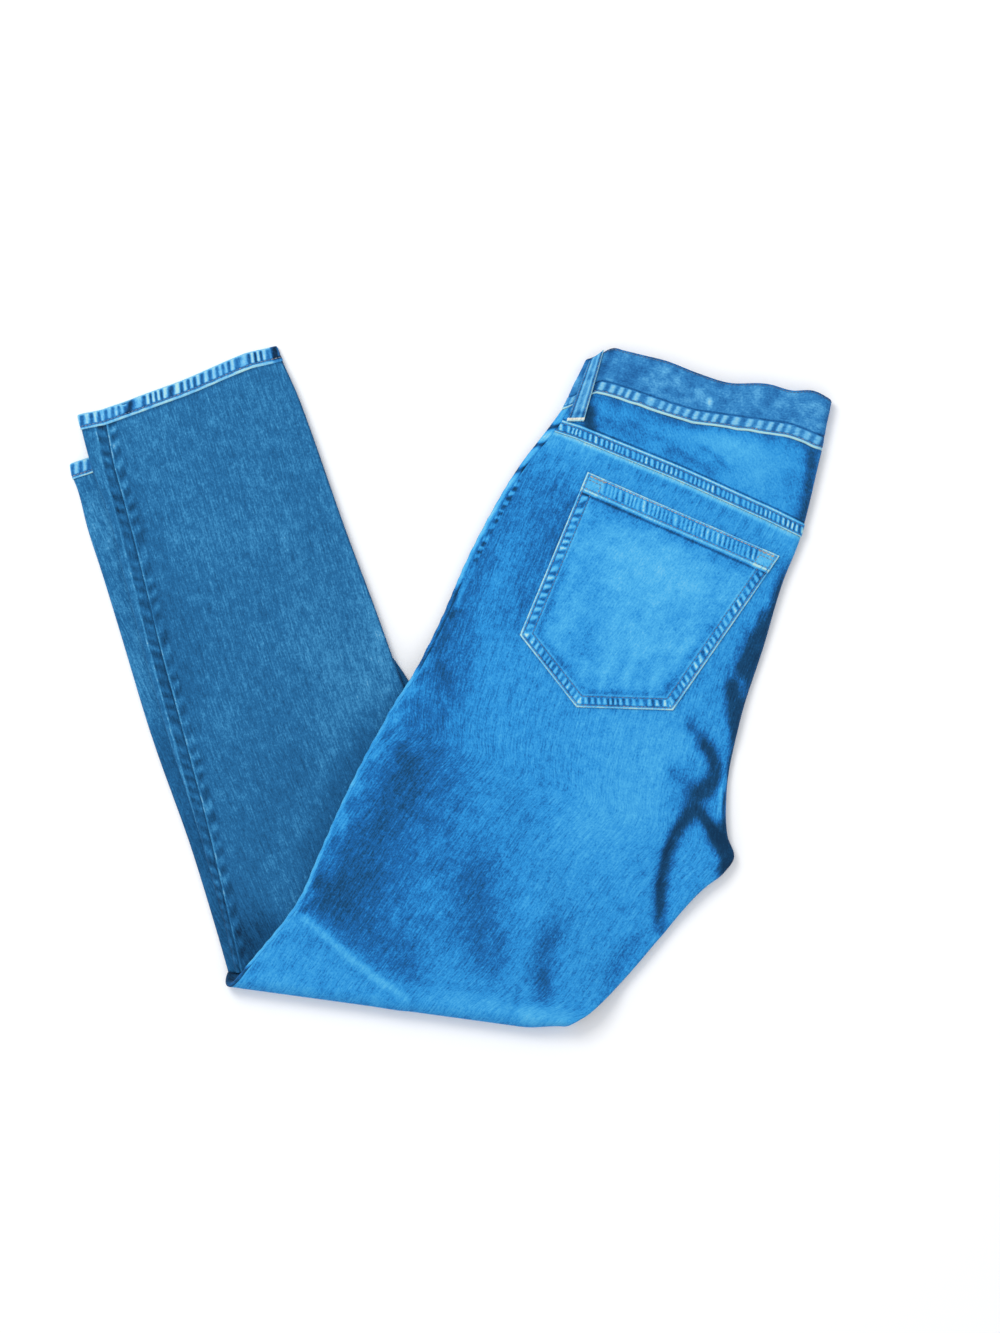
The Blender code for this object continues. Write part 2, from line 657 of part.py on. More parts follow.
def make_upper_calf():
    """The lower leg that shows, as its back panel and its front panel round the left edge."""
    along = calf_rows(UPPER_CALF_SECTIONS)
    lies_on = LEG + GAP
    columns = stops(main_stops(main_shares(CALF_COLUMNS)), right_turns(ROLL_TURNS))
    skins = [
        trimmed(calf_sheet(UPPER_CALF_SECTIONS, along, columns, depth, lies_on, GAP / 2), GAP / 2)
        for depth in (0.0, CLOTH)
    ]
    add_wall("calf_back_left", *skins, DENIM_CALF)
    columns = stops(
        strip_stops((1, 0.5, 0)),
        left_turns(ROLL_TURNS + LOWER_TURNS + (180.0,)),
        bottom_stops(main_shares(CALF_COLUMNS)[1:]),
        bottom_right_turns(CALF_RIM_TURNS),
    )
    skins = [
        trimmed(calf_sheet(UPPER_CALF_SECTIONS, along, columns, depth, lies_on, -GAP / 2), GAP / 2)
        for depth in (0.0, CLOTH)
    ]
    add_wall("calf_front_left", *skins, DENIM_CALF)


def make_under_calf():
    """The lower leg beneath, whose layers are hidden, as one solid with folded edges."""
    along = calf_rows(UNDER_CALF_SECTIONS)
    turns = ROLL_TURNS + LOWER_TURNS
    columns = stops(
        main_stops(main_shares(CALF_COLUMNS)),
        right_turns(turns),
        bottom_stops(main_shares(CALF_COLUMNS)[::-1]),
        left_turns(turns[::-1]),
    )
    rings = trimmed(calf_sheet(UNDER_CALF_SECTIONS, along, columns, 0.0, 0.0), GAP / 2)
    add_loft("calf_right", rings, 0, CALF_COLUMNS + len(turns), CALF_COLUMNS, DENIM_CALF)


def make_hem(name, sections, lies_on, proud):
    """A turned-up hem as a flattened tube, open at its mouth."""
    at = distances(sections)
    along = [0.0, at["hem_seam"] / 2, at["hem_seam"]]
    section = sections_at(sections, along)
    bottom = calf_floor(sections, lies_on)
    height = LEG + proud
    radius = np.full(len(along), height / 2)
    columns = stops(
        [(0, s, 0, 0, 1) for s in main_shares(CALF_COLUMNS)],
        [(0, 1, 0, a, 1) for a in HEM_TURNS],
        bottom_stops(main_shares(CALF_COLUMNS)[::-1]),
        left_turns(HEM_TURNS[::-1]),
    )
    skins = [
        trimmed(
            sheet(section, columns, radius, radius, lambda xy: bottom(xy) + height, bottom, depth),
            0.0,
            BAND_GAP,
        )
        for depth in (0.0, HEM_WALL)
    ]
    add_band(name, skins[0], skins[1], DENIM_PALE)


for old in list(bpy.data.objects):
    bpy.data.objects.remove(old)
jeans = bpy.data.collections.new("slim_jeans")
bpy.context.scene.collection.children.link(jeans)
make_yoke()
make_back()
make_front()
make_hidden_layers()
make_waistband()
make_pocket()
make_loop()
make_upper_calf()
make_under_calf()
make_hem("hem_left", UPPER_CALF_SECTIONS, LEG + GAP, HEM_PROUD)
make_hem("hem_right", UNDER_CALF_SECTIONS, 0.0, 0.0)
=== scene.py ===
import math

import bpy
import numpy as np
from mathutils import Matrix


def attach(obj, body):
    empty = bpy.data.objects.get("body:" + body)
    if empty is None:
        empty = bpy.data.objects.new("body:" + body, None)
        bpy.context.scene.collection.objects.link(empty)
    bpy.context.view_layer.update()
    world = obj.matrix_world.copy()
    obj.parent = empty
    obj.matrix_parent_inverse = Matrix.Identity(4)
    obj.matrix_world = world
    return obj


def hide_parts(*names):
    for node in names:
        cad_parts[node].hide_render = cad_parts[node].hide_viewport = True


print("loading the packed jeans")
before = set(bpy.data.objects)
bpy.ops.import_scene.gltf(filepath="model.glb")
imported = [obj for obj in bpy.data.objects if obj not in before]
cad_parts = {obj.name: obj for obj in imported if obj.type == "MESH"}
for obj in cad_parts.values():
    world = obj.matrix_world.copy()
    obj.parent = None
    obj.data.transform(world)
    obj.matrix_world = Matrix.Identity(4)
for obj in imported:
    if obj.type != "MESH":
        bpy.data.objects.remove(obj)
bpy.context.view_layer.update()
scene = bpy.context.scene
mm = 0.001  # every size below is in millimetres until a mesh is made

# The pile of cloth: how thick each layer is and what lies on what
pile = {
    "cloth": 1.2,  # denim with its loft, as drawn
    "gap": 0.3,
    "leg": 5.0,  # one flattened leg
    "waistSwell": 2.2,  # the seat is this much thicker just below the waistband
    "swellReach": 60.0,
    "kneeReach": (-6.4, -10.2),  # how far the knee fold bulges, in X and Y
    "kneeCorner": (-9.0, -5.0),  # and at its right end
    "cornerStart": 0.86,  # share of the width where that end begins
    "kneeSpread": (-10.0, 0.8),  # the under leg's left edge lies this far from the thigh's
    "dropStart": (-28.0, 2.0),  # beyond this line the thighs sink from the lower legs to the floor
    "dropEnd": (105.0, -257.0),
    "dropWidth": 44.0,
    "hemDrop": 24.0,  # the upper hem comes down to the floor over this length
}
pile["stack"] = 2 * pile["leg"] + pile["gap"]
pile["support"] = pile["stack"] + pile["gap"]
pile["pivot"] = pile["support"] - pile["gap"] / 2
pile["underCalf"] = pile["leg"] + pile["gap"]

# Sections across the garment, from the waist or hem down to the knee. Left is the outseam side.
# The rises bend a section upwards at 12, 50 and 85 % of its width; outseam is the seam's inset.
sectionColumns = ("leftX", "leftY", "rightX", "rightY", "rise12", "rise50", "rise85", "outseam")
thighSections = {
    "waistSeam": (88, 220, 296, 188, 17.5, 5.5, 6.2, 6),
    "yokeSeam": (77, 205, 279, 119, 1.8, 3.0, 1.5, 6),
    "hip": (54, 175, 266, 86, 6, 7, 5, 5),
    "seat": (18, 112, 250, 33, 2, 3, 2, 4),
    "lowSeat": (-10, 49, 230, -31, 0, 0, 0, 4),
    "riseEnd": (-31, 8, 220, -87, 0, 0, 0, 3),
    "aboveCrotch": (-44, -12, 221, -120, 0, 0, 0, 3),
    "crotch": (-50, -22, 226, -136, 0, 0, 0, 3),
    "belowCrotch": (-54, -30, 218, -148, 0, 0, 0, 3),
    "inseamTop": (-61, -42, 203, -160, 0, 0, 0, 3),
    "thigh": (-85, -89, 167, -200, 0, 0, 0, 3),
    "midThigh": (-106, -136, 134, -238, 0, 0, 0, 3),
    "aboveKnee": (-122, -171, 114, -257, 0, 0, 0, 3),
    "knee": (-168, -229, 101, -266, 0, 0, 0, 3),
}
upperCalfSections = {
    "hem": (-298, 217, -140, 272, -2.4, -1.6, 2.4, 20),
    "hemSeam": (-295, 206, -135, 261, -2.6, -1.6, 2.4, 20),
    "aboveAnkle": (-286, 173, -122, 232, 0, 0, 1, 18),
    "lowCalf": (-274, 140, -106, 188, 0, 0, 0, 15),
    "calf": (-261, 89, -85, 128, 0, 0, 0, 15),
    "highCalf": (-246, 31, -60, 61, 0, 0, 0, 14),
    "notch": (-228, -32, -37, -1, 0, 0, 0, 13),
    "belowKnee": (-205, -103, 2, -79, 0, 0, 0, 9),
    "kneeSide": (-185, -171, 46, -165, 0, 0, 0, 5),
    "knee": (-171, -228, 95, -260, 0, 0, 0, 4),
}
underCalfSections = {
    "hem": (-304, 178, -151, 229, 0, 0, 2, 4),
    "hemSeam": (-302, 167, -146, 219, 0, 0, 2, 4),
    "aboveAnkle": (-299, 159, -141, 207, 0, 0, 0, 4),
    "lowCalf": (-290, 125, -121, 160, 0, 0, 0, 4),
    "calf": (-279, 91, -101, 113, 0, 0, 0, 4),
    "highCalf": (-264, 42, -72, 58, 0, 0, 0, 4),
    "notch": (-243, -28, -36, 8, 0, 0, 0, 4),
    "belowKnee": (-206, -134, 22, -117, 0, 0, 0, 4),
    "kneeSide": (-188, -193, 59, -191, 0, 0, 0, 4),
    "knee": (-178, -228, 96, -260, 0, 0, 0, 4),
}

# Folds in the top layer: points along each, half width and height (a trough is negative)
mainFolds = (
    (((193, -92), (176, -140), (165, -196)), 9, -3.8),
    (((190, -30), (215, -56), (196, -92)), 10, -3.4),
    (((202, -97), (212, -118), (222, -132)), 8, -3.0),
    (((226, -98), (205, -150), (180, -170)), 12, 1.8),
    (((243, 52), (230, 10), (218, -20)), 13, -2.2),
    (((-122, -174), (-79, -210), (-33, -243)), 8, 2.4),
    (((-100, -166), (-68, -190), (-30, -220)), 15, -2.2),
    (((8, -160), (24, -195), (44, -226)), 16, -2.0),
    (((86, -196), (75, -225), (73, -248)), 9, -2.4),
    (((146, -205), (134, -220), (124, -238)), 9, -1.6),
    (((60, -120), (70, -170), (60, -225)), 22, 1.4),
)
# Lesser folds, which the solids leave out
lesserFolds = (
    (((194, -94), (178, -122), (168, -160), (166, -188)), 3.5, -1.3),
    (((200, -99), (210, -115), (222, -133)), 3.5, -1.2),
    (((189, -32), (202, -45), (211, -61), (209, -76), (194, -92)), 4.5, -1.1),
    (((206, -36), (219, -58), (221, -84)), 4, 0.9),
    (((214, -92), (220, -112), (226, -128)), 3, 0.7),
    (((-38, -52), (-31, -64), (-26, -80)), 8, -0.35),
    (((25, -175), (40, -190), (48, -214)), 8, -0.7),
    (((150, 20), (120, -60), (105, -130)), 20, 0.6),
    (((110, 0), (80, -80), (58, -150)), 15, -0.5),
    (((30, 40), (0, -20), (-22, -90)), 14, -0.5),
    (((-60, -150), (-20, -190), (10, -232)), 9, 0.5),
    (((150, 205), (182, 194), (214, 178)), 4, -0.5),
    (((172, 192), (190, 182), (206, 170)), 4, -0.4),
    (((128, 208), (142, 204), (156, 192)), 4, -0.5),
    (((210, 196), (238, 168), (250, 150)), 9, 0.6),
    (((48, -262), (52, -250), (54, -238)), 4, -0.6),
)
# Painted shade in the folds' troughs and along the rolled edges (negative), painted highlights on the fold
# ridges and worn places (positive): points, half width and amount
seatShadeAndWear = (
    (((191, -101), (183, -112), (174, -130), (168, -158), (166, -192)), 4.9, -0.9),
    (((189, -28), (197, -38), (204, -48)), 5.5, -0.4),
    (((203, -45), (210, -60), (208, -76), (200, -84)), 5.2, -0.8),
    (((213, -58), (213, -68), (211, -78)), 3, -0.3),
    (((206, -80), (196, -90), (188, -100)), 9, -0.42),
    (((216, -78), (215, -90), (215, -104)), 1.8, 0.45),
    (((176, -66), (186, -76), (194, -86)), 8, -0.3),
    (((197, -97), (207, -112), (219, -129), (226, -137)), 4.2, -0.95),
    (((208, -120), (219, -134)), 6, -0.6),
    (((214, -108), (220, -122), (226, -134)), 3, -0.5),
    (((222, -138), (216, -150)), 5, -0.8),
    (((249, 58), (247, 46)), 4, -0.5),
    (((246, 40), (241, 26), (233, 10)), 8.5, -1.1),
    (((224, 3), (225, -12), (228, -34)), 6, -0.9),
    (((268, 96), (257, 60), (247, 26), (238, -6), (228, -38)), 5, -0.75),
    (((229, -18), (226, -46), (222, -70)), 4, -0.6),
    (((219, -84), (217, -100), (219, -116)), 2, -0.7),
    (((-122, -178), (-98, -199), (-66, -226), (-36, -246)), 3.4, 0.5),
    (((-112, -158), (-84, -182), (-50, -208), (-30, -222)), 21, -0.3),
    (((18, -138), (20, -180), (34, -220)), 20, -0.32),
    (((85, -188), (74, -214), (74, -249)), 10, -0.32),
    (((74, -232), (74, -249)), 7, -0.12),
    (((146, -205), (134, -220), (124, -238)), 8, -0.2),
    (((-38, -48), (-34, -58), (-28, -68)), 8, -0.1),
    (((10, 40), (-24, -40), (-60, -110), (-100, -160)), 24, -0.26),
    (((-20, -60), (-56, -130), (-80, -170)), 30, -0.22),
    (((52, 176), (24, 120), (2, 70), (-12, 40)), 20, -0.3),
    (((86, 170), (70, 110), (52, 50)), 16, -0.22),
    (((100, 150), (82, 96)), 9, -0.24),
    (((140, -42), (110, -110)), 38, 0.2),
    (((180, -30), (150, -110)), 18, 0.12),
    (((130, -60), (60, -100), (30, -150)), 30, -0.08),
    (((-130, -216), (-96, -226), (-60, -248), (60, -262)), 9, 0.06),
    (((60, -262), (90, -264)), 9, 0.3),
    (((-20, -246), (30, -254), (60, -256)), 7, 0.16),
    (((140, 212), (160, 200), (184, 194)), 3, -0.18),
    (((196, 193), (210, 184), (222, 173)), 2.6, -0.26),
    (((172, 192), (190, 182), (206, 170)), 4, -0.18),
    (((150, 204), (180, 198), (230, 196)), 8, 0.16),
    (((122, 212), (134, 206), (150, 196)), 5, -0.14),
    (((112, 222), (110, 212), (112, 204)), 5, -0.7),
    (((215, 194), (250, 170)), 18, 0.26),
    (((110, 164), (170, 142), (240, 108)), 4, 0.16),
    (((120, 180), (180, 158), (256, 122)), 5, -0.24),
    (((288, 190), (284, 150), (276, 120)), 5, -0.6),
    (((48, -262), (52, -250), (54, -238)), 2.4, -0.2),
    (((-14, 20), (-6, 12), (-3, 0)), 6, -0.16),
    (((10, -60), (-6, -110), (-30, -160)), 20, -0.14),
    (((-56, -150), (-30, -180), (0, -200)), 18, -0.12),
    (((-150, -228), (-110, -242)), 9, 0.14),
)
# Painted shade at the fork of the folds, the deepest shade of all
crotchPaintedShade = (
    (((209, -112), (216, -124), (221, -136), (219, -146)), 5, -0.34),
    (((224, -96), (222, -108), (224, -120)), 2.4, -0.3),
    (((184, -108), (174, -132), (169, -152)), 3.4, -0.12),
)
# Painted shade near the knee fold, and lighter and darker places along the calf: points, half width and
# amount
calfShadeAndWear = (
    (((-150, -190), (-168, -215)), 16, -0.5),
    (((-176, -200), (-150, -120), (-120, -60)), 20, -0.14),
    (((-110, -120), (-70, -40), (-80, 40)), 40, 0.08),
    (((-98, 190), (-70, 100), (-50, 20)), 10, 0.16),
    (((-255, 150), (-225, 60), (-200, -40)), 18, -0.08),
    (((-210, 200), (-190, 120)), 34, 0.05),
    (((-165, 220), (-120, 80), (-70, -30)), 22, 0.05),
    (((-60, -20), (-92, -84), (-122, -150)), 11, -0.34),
)
pocketShades = (
    (((128, 22), (121, 6), (118, -6)), 3, 0.26),
    (((147, 30), (142, 10), (139, -4)), 3.4, 0.22),
    (((166, 14), (160, 0), (158, -8)), 3, 0.2),
    (((100, 60), (86, 46), (78, 40)), 6, 0.14),
    (((196, 86), (172, 96), (140, 92)), 22, 0.14),
    (((112, 92), (116, 60), (108, 26)), 10, -0.1),
    (((228, 70), (206, 34), (184, 4)), 7, -0.12),
)


def smooth(t):
    # 0 below 0, 1 above 1, and 3t^2 - 2t^3 between
    t = np.clip(t, 0.0, 1.0)
    return t * t * (3 - 2 * t)


def ease(x, start, end):
    # 0 up to start and 1 from end on, smooth between; it runs downwards where end is the smaller
    return smooth((x - start) / (end - start))


def curveThrough(knots, rows, at):
    # Cubic Hermite curve through rows at the knots, with central differences as its slopes
    knots, rows = np.asarray(knots, float), np.asarray(rows, float)
    at = np.asarray(at, float)
    flat = at.ravel()
    slopes = np.gradient(rows, knots, axis=0)
    k = np.clip(np.searchsorted(knots, flat, side="right") - 1, 0, len(knots) - 2)
    step = knots[k + 1] - knots[k]
    t = (flat - knots[k]) / step
    if rows.ndim > 1:
        t, step = t[:, None], step[:, None]
    value = (2 * t**3 - 3 * t**2 + 1) * rows[k] + (t**3 - 2 * t**2 + t) * step * slopes[k]
    value += (3 * t**2 - 2 * t**3) * rows[k + 1] + (t**3 - t**2) * step * slopes[k + 1]
    return value.reshape(at.shape + rows.shape[1:])


def runOf(points):
    # Distance of each point from the first, along the line through them
    return np.concatenate([[0.0], np.cumsum(np.linalg.norm(np.diff(points, axis=0), axis=1))])


def readAlong(marks, rows, at):
    # Rows read at distances along a line, straight between its marks
    return np.stack([np.interp(at, marks, column) for column in np.transpose(rows)], -1)


def alongOf(table):
    # Distance of each section from the first, through the middles of the sections
    rows = np.array(list(table.values()), float)
    return dict(zip(table, runOf((rows[:, 0:2] + rows[:, 2:4]) / 2)))


def sectionAt(table, along):
    # The table's columns read along smooth curves, as arrays shaped like along
    rows = np.array(list(table.values()), float)
    read = curveThrough(list(alongOf(table).values()), rows, along)
    return {name: read[..., i] for i, name in enumerate(sectionColumns)}


def widthOf(section):
    # Length of the chord from a section's left end to its right one
    return np.hypot(section["rightX"] - section["leftX"], section["rightY"] - section["leftY"])


def place(section, lateral):
    # Floor point = left end + lateral along the chord + the section's rise across it
    chordX = section["rightX"] - section["leftX"]
    chordY = section["rightY"] - section["leftY"]
    width = widthOf(section)
    share = np.clip(lateral / width, 0, 1)
    knots = (0.0, 0.12, 0.5, 0.85, 1.0)
    rises = (0.0, section["rise12"], section["rise50"], section["rise85"], 0.0)
    rise = 0.0
    for k in range(4):
        t = np.clip((share - knots[k]) / (knots[k + 1] - knots[k]), 0, 1)
        rise = rise + (rises[k + 1] - rises[k]) * (t + smooth(t)) / 2
    x = section["leftX"] + (chordX * lateral - chordY * rise) / width
    y = section["leftY"] + (chordY * lateral + chordX * rise) / width
    return np.stack([x, y], -1)


def cloud(xy, size, seed):
    # Random heights on a lattice of the given spacing, blended smoothly between its corners
    lattice = np.random.default_rng(seed).uniform(-1, 1, (61, 67))
    cell = np.floor(xy / size).astype(int)
    part = smooth(xy / size - cell)
    total = 0.0
    for stepX, weightX in ((0, 1 - part[..., 0]), (1, part[..., 0])):
        for stepY, weightY in ((0, 1 - part[..., 1]), (1, part[..., 1])):
            corner = lattice[(cell[..., 0] + stepX) % 61, (cell[..., 1] + stepY) % 67]
            total = total + weightX * weightY * corner
    return total


def wander(s, size, seed):
    # The same along one distance only
    return cloud(np.stack([s, 0 * s], -1), size, seed)


def strokesAt(xy, strokes, tapered=True):
    # Sum of soft strokes: each a bell across the curve through its points, tapering to its ends
    total = np.zeros(xy.shape[:-1])
    for points, halfWidth, amount in strokes:
        t = np.linspace(0, 1, 8 * len(points) - 7)
        curve = curveThrough(np.linspace(0, 1, len(points)), points, t)
        if tapered:
            taper = 0.25 + 0.75 * np.sin(math.pi * t)
        else:
            taper = np.minimum(1, 0.45 + 4 * np.minimum(t, 1 - t))
        away = np.linalg.norm(xy[..., None, :] - curve, axis=-1)
        total += amount * np.max(taper * np.exp(-((away / halfWidth) ** 2)), axis=-1)
    return total


def beyond(xy, start, end):
    # How far floor points are to the right of the line from start to end
    run = (np.array(end, float) - start) / math.dist(start, end)
    return (xy[..., 0] - start[0]) * run[1] - (xy[..., 1] - start[1]) * run[0]


def thighFloor(xy):
    # Underside of the thighs: on the lower legs, then down to the floor beside them
    beside = beyond(xy, pile["dropEnd"], pile["dropStart"])
    return pile["support"] * (1 - smooth(beside / pile["dropWidth"]))


def thighThickness(xy):
    # The stack, and a swelling that dies away below the waistband
    seam = thighSections["waistSeam"]
    below = beyond(xy, seam[0:2], seam[2:4])
    return pile["stack"] + pile["waistSwell"] * (1 - smooth(below / pile["swellReach"]))


def thighTop(xy):
    # Upper face of the thighs = underside + thickness + the main folds
    return thighFloor(xy) + thighThickness(xy) + strokesAt(xy, mainFolds)


def rippleAt(xy):
    # Lesser folds and the slight unevenness of laid cloth
    x, y = xy[..., 0], xy[..., 1]
    turned = np.stack([x + 0.4 * y, y - 0.4 * x], -1)
    return strokesAt(xy, lesserFolds) + 0.28 * cloud(turned, 34.0, 11) + 0.10 * cloud(turned, 13.0, 12)


def spaced(*marks):
    # Values that run through the marks, (value, spacing to the next), each at about its spacing
    values = []
    for (start, spacing), (end, _) in zip(marks[:-1], marks[1:]):
        count = max(1, round(abs(end - start) / spacing))
        values += list(np.linspace(start, end, count, endpoint=False))
    return np.array(values + [marks[-1][0]])


# A column of a layer is (strip share, main share, left turn, right turn, side): it lies between the
# left edge and the outseam, between the outseam and the right edge, on a rolled edge, or below.
# Each kind of run starts from such a column and changes one of its entries.
columnKinds = {
    "strip": ((0, 0, 0, 0, 1), 0),
    "main": ((1, 0, 0, 0, 1), 1),
    "left": ((0, 0, 0, 0, 1), 2),
    "right": ((1, 1, 0, 0, 1), 3),
    "low": ((0, 0, 0, 0, -1), 1),
    "lowLeft": ((0, 0, 0, 0, -1), 2),
    "lowRight": ((0, 1, 0, 0, -1), 3),
}


def columnsOf(*runs, closed=False):
    # Columns of a layer, from runs of (kind, marks); each run starts where the last one ended
    columns = []
    for kind, *marks in runs:
        start, changed = columnKinds[kind]
        for value in spaced(*marks)[1 if columns else 0:]:
            column = list(start)
            column[changed] = value
            columns.append(column)
    return np.array(columns[:-1] if closed else columns, float)


def layer(section, columns, leftRadius, rightRadius, top, floor, depth=0.0, rightReach=1.0):
    # A folded layer: flat between its edges, and round each edge with that edge's radius
    strip, main, leftTurn, rightTurn, side = (columns[:, i][None] for i in range(5))
    leftTurn, rightTurn = np.radians(leftTurn), np.radians(rightTurn * rightReach)
    section = {name: value[:, None] for name, value in section.items()}
    width = widthOf(section)
    start = leftRadius[:, None]
    inset = start + (section["outseam"] - start) * strip
    flat = inset + main * (width - inset - rightRadius[:, None])
    radius = np.where(leftTurn > 0, start, rightRadius[:, None])
    out = (radius - depth) * np.sin(leftTurn + rightTurn)
    lateral = flat + np.where(leftTurn > 0, -out, out)
    flatXy = place(section, np.clip(flat, 0, width))
    reach = radius - (radius - depth) * np.cos(leftTurn + rightTurn)
    z = np.where(side > 0, top(flatXy) - reach, floor(flatXy) + reach)
    return np.concatenate([place(section, lateral), z[..., None]], -1)


def thighLayer(rows, *runs):
    # The rolls at the left have a quarter of the pile's height as radius, one for each leg; at the
    # right the seat is one half roll, which parts into a roll for each leg below the rise
    along = spaced(*rows)
    section = sectionAt(thighSections, along)
    left = np.stack([section["leftX"], section["leftY"]], -1)
    right = np.stack([section["rightX"], section["rightY"]], -1)
    split = ease(along, thighAt["riseEnd"], thighAt["inseamTop"])
    leftRadius = thighThickness(left) / 4
    rightRadius = thighThickness(right) * (0.5 - 0.25 * split)
    reach = 0.5 + 0.5 * split[:, None]
    return layer(section, columnsOf(*runs), leftRadius, rightRadius, thighTop, thighFloor, rightReach=reach)


def roundTheKnee(grid, steps):
    # Carries the last row of a grid round the knee fold: a half turn about a line at half the
    # pile's height, which spreads towards the left
    last = grid[-1]
    left, _, right, _ = thighSections["knee"][:4]
    across = np.clip((last[:, 0] - left) / (right - left), 0, 1)[None]
    turn = np.radians(np.linspace(0, 180, steps + 1)[1:])[:, None]
    height = (last[:, 2] - pile["pivot"])[None]
    spread = (1 - np.cos(turn)) / 2 * (1 - across)
    swing = height / pile["pivot"] * np.sin(turn)
    corner = ease(across, pile["cornerStart"], 1)
    reach = [pile["kneeReach"][i] * (1 - corner) + pile["kneeCorner"][i] * corner for i in (0, 1)]
    x = last[None, :, 0] + reach[0] * swing + pile["kneeSpread"][0] * spread
    y = last[None, :, 1] + reach[1] * swing + pile["kneeSpread"][1] * spread
    z = np.maximum(pile["pivot"] + height * np.cos(turn), 0.0)
    return np.concatenate([grid, np.stack([x, y, z], -1)])


def calfLayer(table, rows, columns, liesOn, depth=0.0):
    # One flattened lower leg, which comes down at its hem by what it lies on
    def floor(xy):
        return liesOn * smooth(beyond(xy, table["hem"][0:2], table["hem"][2:4]) / pile["hemDrop"])

    along = spaced(*rows)
    radius = np.full(len(along), pile["leg"] / 2)
    section = sectionAt(table, along)
    return layer(section, columns, radius, radius, lambda xy: floor(xy) + pile["leg"], floor, depth)


def fieldsOf(points, closed=False):
    # Distances over a grid from each of its sides, and its unit normals
    down = np.linalg.norm(np.diff(points, axis=0), axis=2)
    fromTop = np.concatenate([np.zeros((1, points.shape[1])), np.cumsum(down, 0)])
    across = np.linalg.norm(np.diff(points, axis=1), axis=2)
    fromLeft = np.concatenate([np.zeros((points.shape[0], 1)), np.cumsum(across, 1)], 1)
    if closed:
        columnStep = np.roll(points, -1, 1) - np.roll(points, 1, 1)
    else:
        columnStep = np.gradient(points, axis=1)
    normal = np.cross(np.gradient(points, axis=0), columnStep)
    normal /= np.maximum(np.linalg.norm(normal, axis=2, keepdims=True), 1e-9)
    return {
        "fromTop": fromTop,
        "fromBottom": fromTop[-1] - fromTop,
        "fromLeft": fromLeft,
        "fromRight": fromLeft[:, -1:] - fromLeft,
        "normal": normal,
    }


def puckers(s, d, low, high, pitch, slant, seed, crisp=1.6, widen=0.0):
    # Roping between two rows of stitches: a sine along the seam, flattened to crests and gaps,
    # leaning with the distance from the edge, with spacing and height that wander; widen makes
    # the gaps into wedges, wide at the inner row
    height = 0.7 + 0.3 * wander(s, pitch * 1.3, seed + 1)
    wave = np.sin(2 * math.pi * ((s + slant * d) / pitch + 0.45 * wander(s, pitch * 2.3, seed)))
    wave = wave - widen * (2 * (d - low) / (high - low) - 1)
    window = smooth((d - low) / 0.9) * smooth((high - d) / 0.9)
    return window * height * np.tanh(crisp * wave) / math.tanh(crisp)


def lumps(rope, crest, gap):
    # Wear over roped puckers: the crests are worn and the gaps between them are deep
    return crest * np.maximum(rope, 0) + gap * np.minimum(rope, 0)


def line(d, at, width):
    # A soft line at a distance from an edge
    return np.exp(-(((d - at) / width) ** 2))


def lines(d, rows):
    # Sum of soft lines, each (distance from the edge, width, amount)
    return sum(amount * line(d, at, width) for at, width, amount in rows)


def spotAt(xy, x, y, wide, tall):
    # A soft spot, a bell both ways
    return line(xy[..., 0], x, wide) * line(xy[..., 1], y, tall)


def roundedEdge(d, radius, drop):
    # A quarter circle down towards an edge
    t = np.clip(1 - d / radius, 0, 1)
    return -drop * (1 - np.sqrt(np.maximum(1 - t * t, 0)))


def lineOn(points, normals, field, value):
    # The line on a grid where a distance from its top or bottom edge has the given value
    if field[0, 0] > field[-1, 0]:
        points, normals, field = points[::-1], normals[::-1], field[::-1]
    row = np.clip(np.argmax(field >= value, axis=0), 1, len(field) - 1)
    column = np.arange(field.shape[1])
    before, after = field[row - 1, column], field[row, column]
    t = np.clip((value - before) / np.maximum(after - before, 1e-6), 0, 1)[:, None]
    here = points[row - 1, column] * (1 - t) + points[row, column] * t
    up = normals[row - 1, column] * (1 - t) + normals[row, column] * t
    return here, up


def quadsOf(rows, columns, closed):
    # Corners of each cell of a grid, turned so that the cells face out
    r, c = np.mgrid[0:rows - 1, 0:columns if closed else columns - 1]
    after = (c + 1) % columns
    corners = (r * columns + c, (r + 1) * columns + c, (r + 1) * columns + after, r * columns + after)
    return np.stack(corners, -1).reshape(-1, 4)


pieces = {}  # every object of the jeans by its name


def meshOf(name, points, quads, material, fade, uv=None):
    # Puts arrays of points, four-sided faces, the fade (wear with painted shade and highlights, or a thread's
    # tone) and cloth coordinates into a new object
    mesh = bpy.data.meshes.new(name)
    points = points.reshape(-1, 3) * mm
    mesh.vertices.add(len(points))
    mesh.vertices.foreach_set("co", points.ravel())
    mesh.loops.add(quads.size)
    mesh.loops.foreach_set("vertex_index", quads.ravel())
    mesh.polygons.add(len(quads))
    mesh.polygons.foreach_set("loop_start", np.arange(len(quads)) * 4)
    mesh.polygons.foreach_set("use_smooth", np.ones(len(quads), bool))
    if uv is not None:
        cloth = mesh.uv_layers.new(name="cloth")
        cloth.data.foreach_set("uv", (uv.reshape(-1, 2) * mm)[quads.ravel()].ravel())
    wear = mesh.attributes.new("fade", "FLOAT", "POINT")
    wear.data.foreach_set("value", np.clip(fade, -1, 1).ravel())
    mesh.update()
    mesh.validate()
    mesh.materials.append(material)
    pieces[name] = bpy.data.objects.new(name, mesh)
    scene.collection.objects.link(pieces[name])
    return pieces[name]


